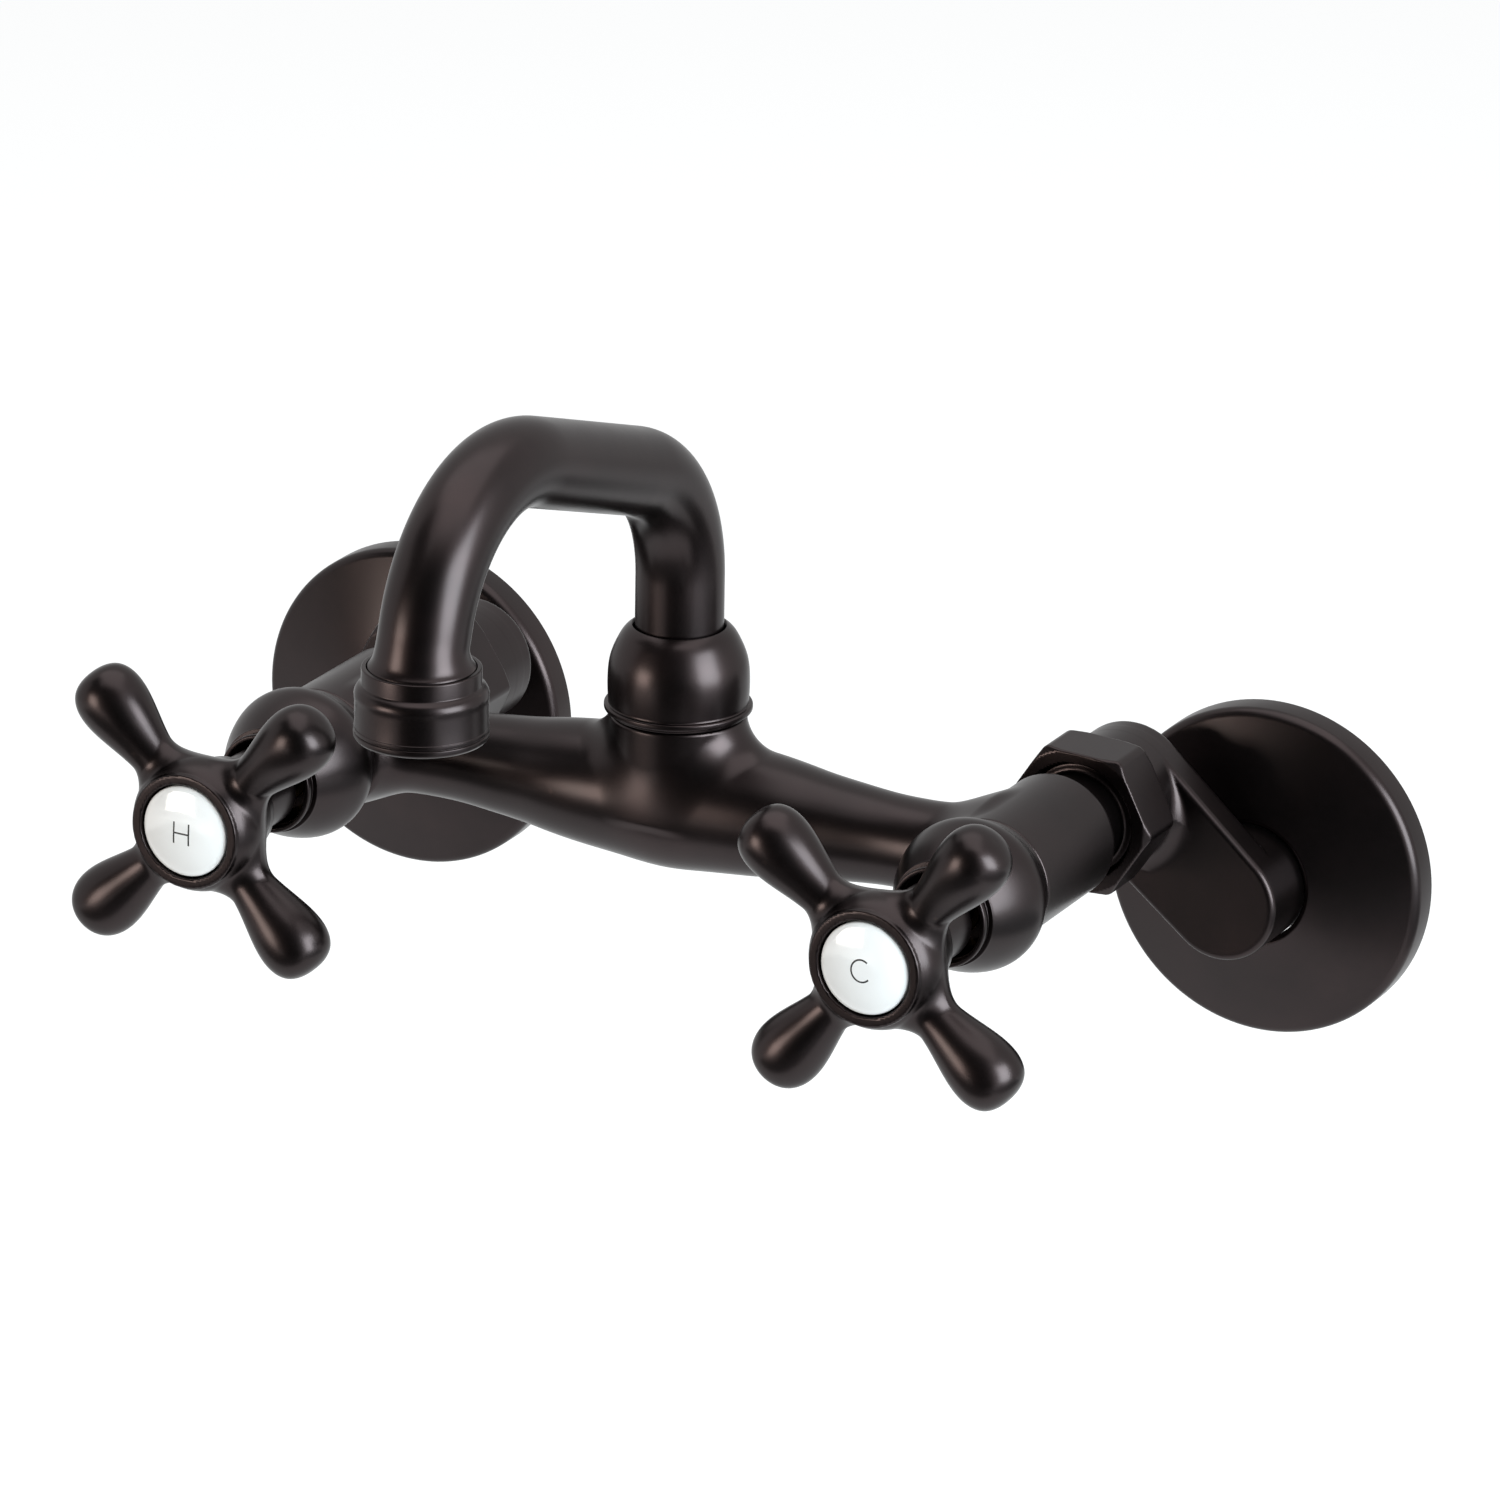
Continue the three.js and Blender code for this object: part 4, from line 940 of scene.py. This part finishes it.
def build_collar():
    """Swivel collar: a bead near its foot and a round shoulder up to the spout."""
    foot = HUB_HEIGHT + GAP
    top = COLLAR_TOP
    wide = COLLAR_RADIUS
    bead = COLLAR_BEAD
    inside = THREAD_RADIUS + GAP
    hole = SPOUT_RADIUS + GAP
    ceiling = top - 6
    wall = (wide - 0.15, foot + 2.2)
    crown = (hole + 0.55, top - 0.1)
    base = rounded([
        (inside, foot), (wide - 0.25, foot, 0.2), (wide - 0.2, foot + 0.6, 0.1), (bead, foot + 0.7, 0.45),
        (bead, foot + 1.95, 0.45), (wide - 0.05, foot + 2.05, 0.1), wall,
    ])
    shoulder = spline([
        wall, (wide - 0.02, top - 14.2), (wide, top - 10.8), (wide - 0.4, top - 7.2),
        (wide - 1.8, top - 3.5), (wide - 3.6, top - 0.8), crown,
    ])
    edge = rounded([crown, (hole + 0.3, top, 0.1), (hole, top - 0.3), (hole, ceiling), (inside, ceiling)])
    outline = [*base[:-1], *shoulder, *edge[1:]]
    turned_piece("spout_collar", outline, upright(SWIVEL_DEPTH), "fixture", "swivel_collar")


# The spout's centreline: riser, rear bend, run and front bend
HEADING = radians(SPOUT_HEADING)
REAR_FORWARD = REAR_BEND * (1 - cos(HEADING))
FRONT_FORWARD = OUTLET_REACH - FRONT_BEND * (cos(HEADING) + 1)
RISER = RISER_TOP - SPOUT_START
REAR_ARC = REAR_BEND * HEADING
RUN = (FRONT_FORWARD - REAR_FORWARD) / sin(HEADING)
FRONT_ARC = FRONT_BEND * (pi - HEADING)


def spout_path(s):
    """Forward distance, height and heading of the spout's centreline, s along it from its lower end."""
    if s <= RISER:
        return 0, SPOUT_START + s, 0
    s -= RISER
    if s <= REAR_ARC:
        turn = s / REAR_BEND
        return REAR_BEND * (1 - cos(turn)), RISER_TOP + REAR_BEND * sin(turn), turn
    s -= REAR_ARC
    rear_height = RISER_TOP + REAR_BEND * sin(HEADING)
    if s <= RUN:
        return REAR_FORWARD + s * sin(HEADING), rear_height + s * cos(HEADING), HEADING
    s -= RUN
    turn = HEADING + min(s, FRONT_ARC) / FRONT_BEND
    forward = FRONT_FORWARD + FRONT_BEND * (cos(HEADING) - cos(turn))
    height = rear_height + RUN * cos(HEADING) + FRONT_BEND * (sin(turn) - sin(HEADING))
    return forward, height - max(s - FRONT_ARC, 0), turn


def build_spout():
    """The bent tube, with seal grooves at its lower end and a flared thread at its outlet."""
    bends_end = RISER + REAR_ARC + RUN + FRONT_ARC
    end_height = spout_path(bends_end)[1]

    def from_height(height):
        return bends_end + end_height - height

    start = SPOUT_START
    seam = AERATOR_TOP + NECK_RISE
    radius = SPOUT_RADIUS
    lower = [(SPIGOT_BORE, start), (radius, start)]
    for node, floor in SPOUT_GROOVES.items():
        low, high = heights(node)
        lower += [(radius, low - GAP), (floor, low - GAP), (floor, high + GAP), (radius, high + GAP)]
    lower.append((radius, SPIGOT_TOP + 2))
    flare = [
        (radius, seam + 5.5), (radius + 0.03, seam + 4.2), (radius + 0.15, seam + 3.2),
        (radius + 0.45, seam + 1.9), (radius + 0.95, seam + 0.8), (radius + 1.5, seam + 0.1),
    ]
    thread = OUTLET_THREAD_RADIUS
    outlet = rounded([
        flare[-1], (radius + 1.55, seam - 0.2, 0.1), (thread, seam - 0.5), (thread, OUTLET_END, 0.4),
        (SPOUT_BORE, OUTLET_END),
    ])
    pipe = np.arange(SPIGOT_TOP + 3 - start, from_height(flare[0][1]), 1.1)
    bore = np.arange(from_height(OUTLET_END + 0.635), SPIGOT_TOP - start, -1.6)
    outline = [(across, height - start) for across, height in lower]
    outline += [(radius, s) for s in pipe]
    outline += [(across, from_height(height)) for across, height in [*spline(flare), *outlet[1:]]]
    outline += [(SPOUT_BORE, s) for s in bore]
    outline.append((SPIGOT_BORE, SPIGOT_TOP - start))
    place = spout_place(from_height)
    turned_piece("spout_pipe", outline, place, "spout", "spout_tube", turns=96)


def spout_place(from_height):
    """Placing along the spout's centreline. It comes upright a little early, so that its flare is level."""
    level_from = from_height(LEVEL_FROM)
    level_to = from_height(LEVEL_TO)

    def place(across, over, s):
        forward, height, heading = spout_path(s)
        share = min(max((s - level_from) / (level_to - level_from), 0), 1)
        share *= share * (3 - 2 * share)
        forward += share * (OUTLET_REACH - forward)
        heading += share * (pi - heading)
        forward += over * cos(heading)
        height -= over * sin(heading)
        return across, -(SWIVEL_DEPTH + forward), VALVE_Z + height

    return place


def build_aerator():
    """Aerator housing: a short neck, a rounded step, a plain band and a beaded lip."""
    top = AERATOR_TOP + NECK_RISE
    foot = AERATOR_FOOT + 0.25
    wide = AERATOR_RADIUS
    mouth = AERATOR_MOUTH
    inside = OUTLET_THREAD_RADIUS + 0.45
    ledge = (wide - 1, top - 3.6)
    band = (wide, top - 7.2)
    neck = rounded([(inside, top), (wide - 1.3, top, 0.3), (wide - 1.25, top - 3.3, 0.3), ledge])
    step = spline([
        ledge, (wide - 0.5, top - 4), (wide - 0.1, top - 4.6), (wide + 0.1, top - 5.4),
        (wide + 0.03, top - 6.3), band,
    ], spacing=0.15)
    lip = rounded([
        band, (wide, foot + 2.95, 0.1), (wide + 0.16, foot + 2.85, 0.1), (wide + 0.16, foot + 2.2, 0.1),
        (wide - 0.05, foot + 2.1, 0.05), (wide - 0.05, foot + 1.95, 0.05), (wide + 0.22, foot + 1.8, 0.2),
        (wide + 0.2, foot + 0.9, 0.6), (wide - 0.7, foot, 0.4),
    ], steps=5)
    inner = [(mouth, foot), (mouth, foot + 1.2), (inside, foot + 1.2)]
    outline = [*neck[:-1], *step, *lip[1:], *inner]
    place = upright(SWIVEL_DEPTH + OUTLET_REACH)
    turned_piece("aerator_shell", outline, place, "spout", "aerator_housing")


# ---- CAD nodes that stay

def smooth_by_angle():
    """Geometry nodes that weld a CAD mesh and shade it smooth between edges flatter than 40 degrees."""
    group = bpy.data.node_groups.new("smooth_by_angle", "GeometryNodeTree")
    group.interface.new_socket("Geometry", in_out="INPUT", socket_type="NodeSocketGeometry")
    group.interface.new_socket("Geometry", in_out="OUTPUT", socket_type="NodeSocketGeometry")
    nodes = group.nodes
    links = group.links
    start = nodes.new("NodeGroupInput")
    weld = nodes.new("GeometryNodeMergeByDistance")
    set_inputs(weld, Distance=0.00001)
    all_smooth = nodes.new("GeometryNodeSetShadeSmooth")
    angle = nodes.new("GeometryNodeInputMeshEdgeAngle")
    sharper = nodes.new("FunctionNodeCompare")
    sharper.inputs[1].default_value = radians(40)
    keep_sharp = nodes.new("GeometryNodeSetShadeSmooth")
    keep_sharp.domain = "EDGE"
    set_inputs(keep_sharp, Shade_Smooth=False)
    end = nodes.new("NodeGroupOutput")
    links.new(start.outputs[0], weld.inputs["Geometry"])
    links.new(weld.outputs["Geometry"], all_smooth.inputs["Geometry"])
    links.new(all_smooth.outputs["Geometry"], keep_sharp.inputs["Geometry"])
    links.new(angle.outputs["Unsigned Angle"], sharper.inputs[0])
    links.new(sharper.outputs[0], keep_sharp.inputs["Selection"])
    links.new(keep_sharp.outputs["Geometry"], end.inputs[0])
    return group


def dress_cad_nodes():
    """The inner CAD nodes stay as they are, with smooth shading and their slots' materials."""
    group = smooth_by_angle()
    slots = {part["node"]: part["material_slot"] for part in frame["record"]["subparts"]}
    for name, node in frame["nodes"].items():
        node.data.materials.clear()
        node.data.materials.append(materials[slots[name]])
        if not node.hide_render:
            node.modifiers.new("smooth", "NODES").node_group = group


# ---- studio

FLOOR_HEIGHT = -0.24
TABLE_HEIGHT = -0.225
CLOTH_FOOT = -0.23
CAMERA_AZIMUTH = 27.2  # degrees, as the photograph shows
CAMERA_ROLL = 0.016  # radians
CAMERA_LENS = 247.09
CAMERA_PLACE = Vector((0.905213, -1.804168, 0.742565))
CAMERA_FORWARD = Vector((-0.42944221, 0.83548862, -0.34283837))
AIM = Vector((0, -0.08, 0.03))  # what the lamps face


def add_sheet(name, corners, material):
    """A flat sheet with four corners, as part of the studio."""
    mesh = bpy.data.meshes.new(name)
    mesh.from_pydata(corners, [], [(0, 1, 2, 3)])
    mesh.materials.append(material)
    sheet = add_object(name, mesh)
    return sheet


def level_corners(left, right, front, back, height):
    """Corners of a level rectangle."""
    return [(left, front, height), (right, front, height), (right, back, height), (left, back, height)]


def build_floor():
    """Plain pale floor, well below the object: it shows white and keeps a soft shadow."""
    half = 3.5
    material, nodes, links, _ = new_material("white_floor")
    nodes.clear()
    diffuse = add_node(nodes, "BsdfDiffuse", Color=(0.5, 0.5, 0.5, 1))
    glow = add_node(nodes, "Emission", Color=(1, 1, 1, 1))
    both = nodes.new("ShaderNodeAddShader")
    end = nodes.new("ShaderNodeOutputMaterial")
    links.new(add_seen(nodes, links, strength=0.75), glow.inputs["Strength"])
    links.new(diffuse.outputs["BSDF"], both.inputs[0])
    links.new(glow.outputs["Emission"], both.inputs[1])
    links.new(both.outputs["Shader"], end.inputs["Surface"])
    add_sheet("floor", level_corners(-half, half, -half, half, FLOOR_HEIGHT), material)


def add_seen(nodes, links, strength, unseen=0.0):
    """A strength for camera, glossy and transmission rays, and another for the rest."""
    path = nodes.new("ShaderNodeLightPath")
    total = path.outputs["Is Camera Ray"]
    for name in ("Is Glossy Ray", "Is Transmission Ray"):
        join = nodes.new("ShaderNodeMath")
        join.operation = "MAXIMUM"
        links.new(total, join.inputs[0])
        links.new(path.outputs[name], join.inputs[1])
        total = join.outputs["Value"]
    ranged = add_node(nodes, "MapRange", To_Min=unseen, To_Max=strength)
    links.new(total, ranged.inputs["Value"])
    return ranged.outputs["Result"]


def build_world():
    """White surroundings for what is seen, and a softer level for what they light."""
    world = bpy.data.worlds.new("studio")
    bpy.context.scene.world = world
    world.use_nodes = True
    nodes = world.node_tree.nodes
    links = world.node_tree.links
    background = nodes["Background"]
    set_inputs(background, Color=(1, 1, 1, 1))
    links.new(add_seen(nodes, links, strength=1.0, unseen=0.2), background.inputs["Strength"])


def beside_camera(turn, elevation, distance):
    """A place seen from the object at an angle beside the camera; turn is positive to its right."""
    azimuth = radians(CAMERA_AZIMUTH + turn)
    rise = radians(elevation)
    level = distance * cos(rise)
    return AIM + Vector((level * sin(azimuth), -level * cos(azimuth), distance * sin(rise)))


def soft_box(name, turn, elevation, distance, width, height, radiance, colour):
    """A soft box that faces the object. Its power follows from its radiance and area."""
    light = bpy.data.lights.new(name, "AREA")
    light.shape = "RECTANGLE"
    light.size = width
    light.size_y = height
    light.energy = radiance * width * height * pi
    light.color = colour
    box = add_object(name, light)
    box.location = beside_camera(turn, elevation, distance)
    box.rotation_euler = (AIM - box.location).to_track_quat("-Z", "Y").to_euler()
    box.visible_camera = False


def hang_flag(name, grey, turn, distance, half, low, high):
    """An upright cloth at an angle beside the camera."""
    azimuth = radians(CAMERA_AZIMUTH + turn)
    way = Vector((cos(azimuth), sin(azimuth), 0))
    middle = Vector((distance * sin(azimuth), -distance * cos(azimuth) - 0.1, 0))
    places = ((-half, low), (half, low), (half, high), (-half, high))
    hang_cloth(name, grey, [middle + way * a + Vector((0, 0, b)) for a, b in places])


def hang_cloth(name, grey, corners):
    """A matt cloth that only the object's reflections show."""
    material, _, _, shader = new_material(name + "_cloth")
    set_inputs(shader, Base_Color=(grey, grey, grey, 1), Roughness=1)
    cloth = add_sheet(name, corners, material)
    cloth.visible_camera = False
    cloth.visible_diffuse = False
    cloth.visible_shadow = False


def build_camera():
    """Camera at the photograph's viewing angle."""
    azimuth = radians(CAMERA_AZIMUTH)
    level = Vector((cos(azimuth), sin(azimuth), 0))
    above = level.cross(CAMERA_FORWARD)
    right = level * cos(CAMERA_ROLL) + above * sin(CAMERA_ROLL)
    up = above * cos(CAMERA_ROLL) - level * sin(CAMERA_ROLL)
    data = bpy.data.cameras.new("camera")
    data.sensor_width = 36
    data.lens = CAMERA_LENS
    data.clip_end = 50
    camera = add_object("camera", data)
    place = Matrix((right, up, -CAMERA_FORWARD)).transposed().to_4x4()
    place.translation = CAMERA_PLACE
    camera.matrix_world = place
    bpy.context.scene.camera = camera


build_body()
build_supply_arms()
build_union_nuts()
build_cross_handles()
for word, side in SIDES.items():
    build_flange(side, word)
    build_bonnet(side, word)
    build_button(side, word)
    build_letter(side, word)
build_collar()
build_spout()
build_aerator()
dress_cad_nodes()

build_floor()
build_world()
# turn and elevation in degrees, distance, width and height in metres, radiance, colour
soft_box("right_box", 51, 15, 1.3, 0.8, 0.95, 14.0, (0.82, 0.95, 1.0))
soft_box("left_box", -59, 3, 1.3, 0.5, 0.5, 9.0, (1.0, 0.91, 0.81))
soft_box("top_box", 0, 88, 1.5, 1.8, 1.8, 1.3, (1.0, 1.0, 1.0))
hang_flag("black_flag", grey=0.1, turn=-8, distance=0.55, half=0.29, low=CLOTH_FOOT, high=0.75)
hang_flag("grey_wall", grey=0.2, turn=-45, distance=1.9, half=1.5, low=CLOTH_FOOT, high=4.0)
hang_flag("grey_drape", grey=0.2, turn=-75, distance=1.5, half=0.9, low=1.1, high=3.6)
hang_cloth("grey_table", 0.15, level_corners(-0.6, 0.3, -0.85, -0.3, TABLE_HEIGHT))
hang_cloth("side_table", 0.25, level_corners(0.34, 1.1, -0.5, 0.3, TABLE_HEIGHT))
build_camera()
bpy.context.scene.view_settings.view_transform = "Standard"
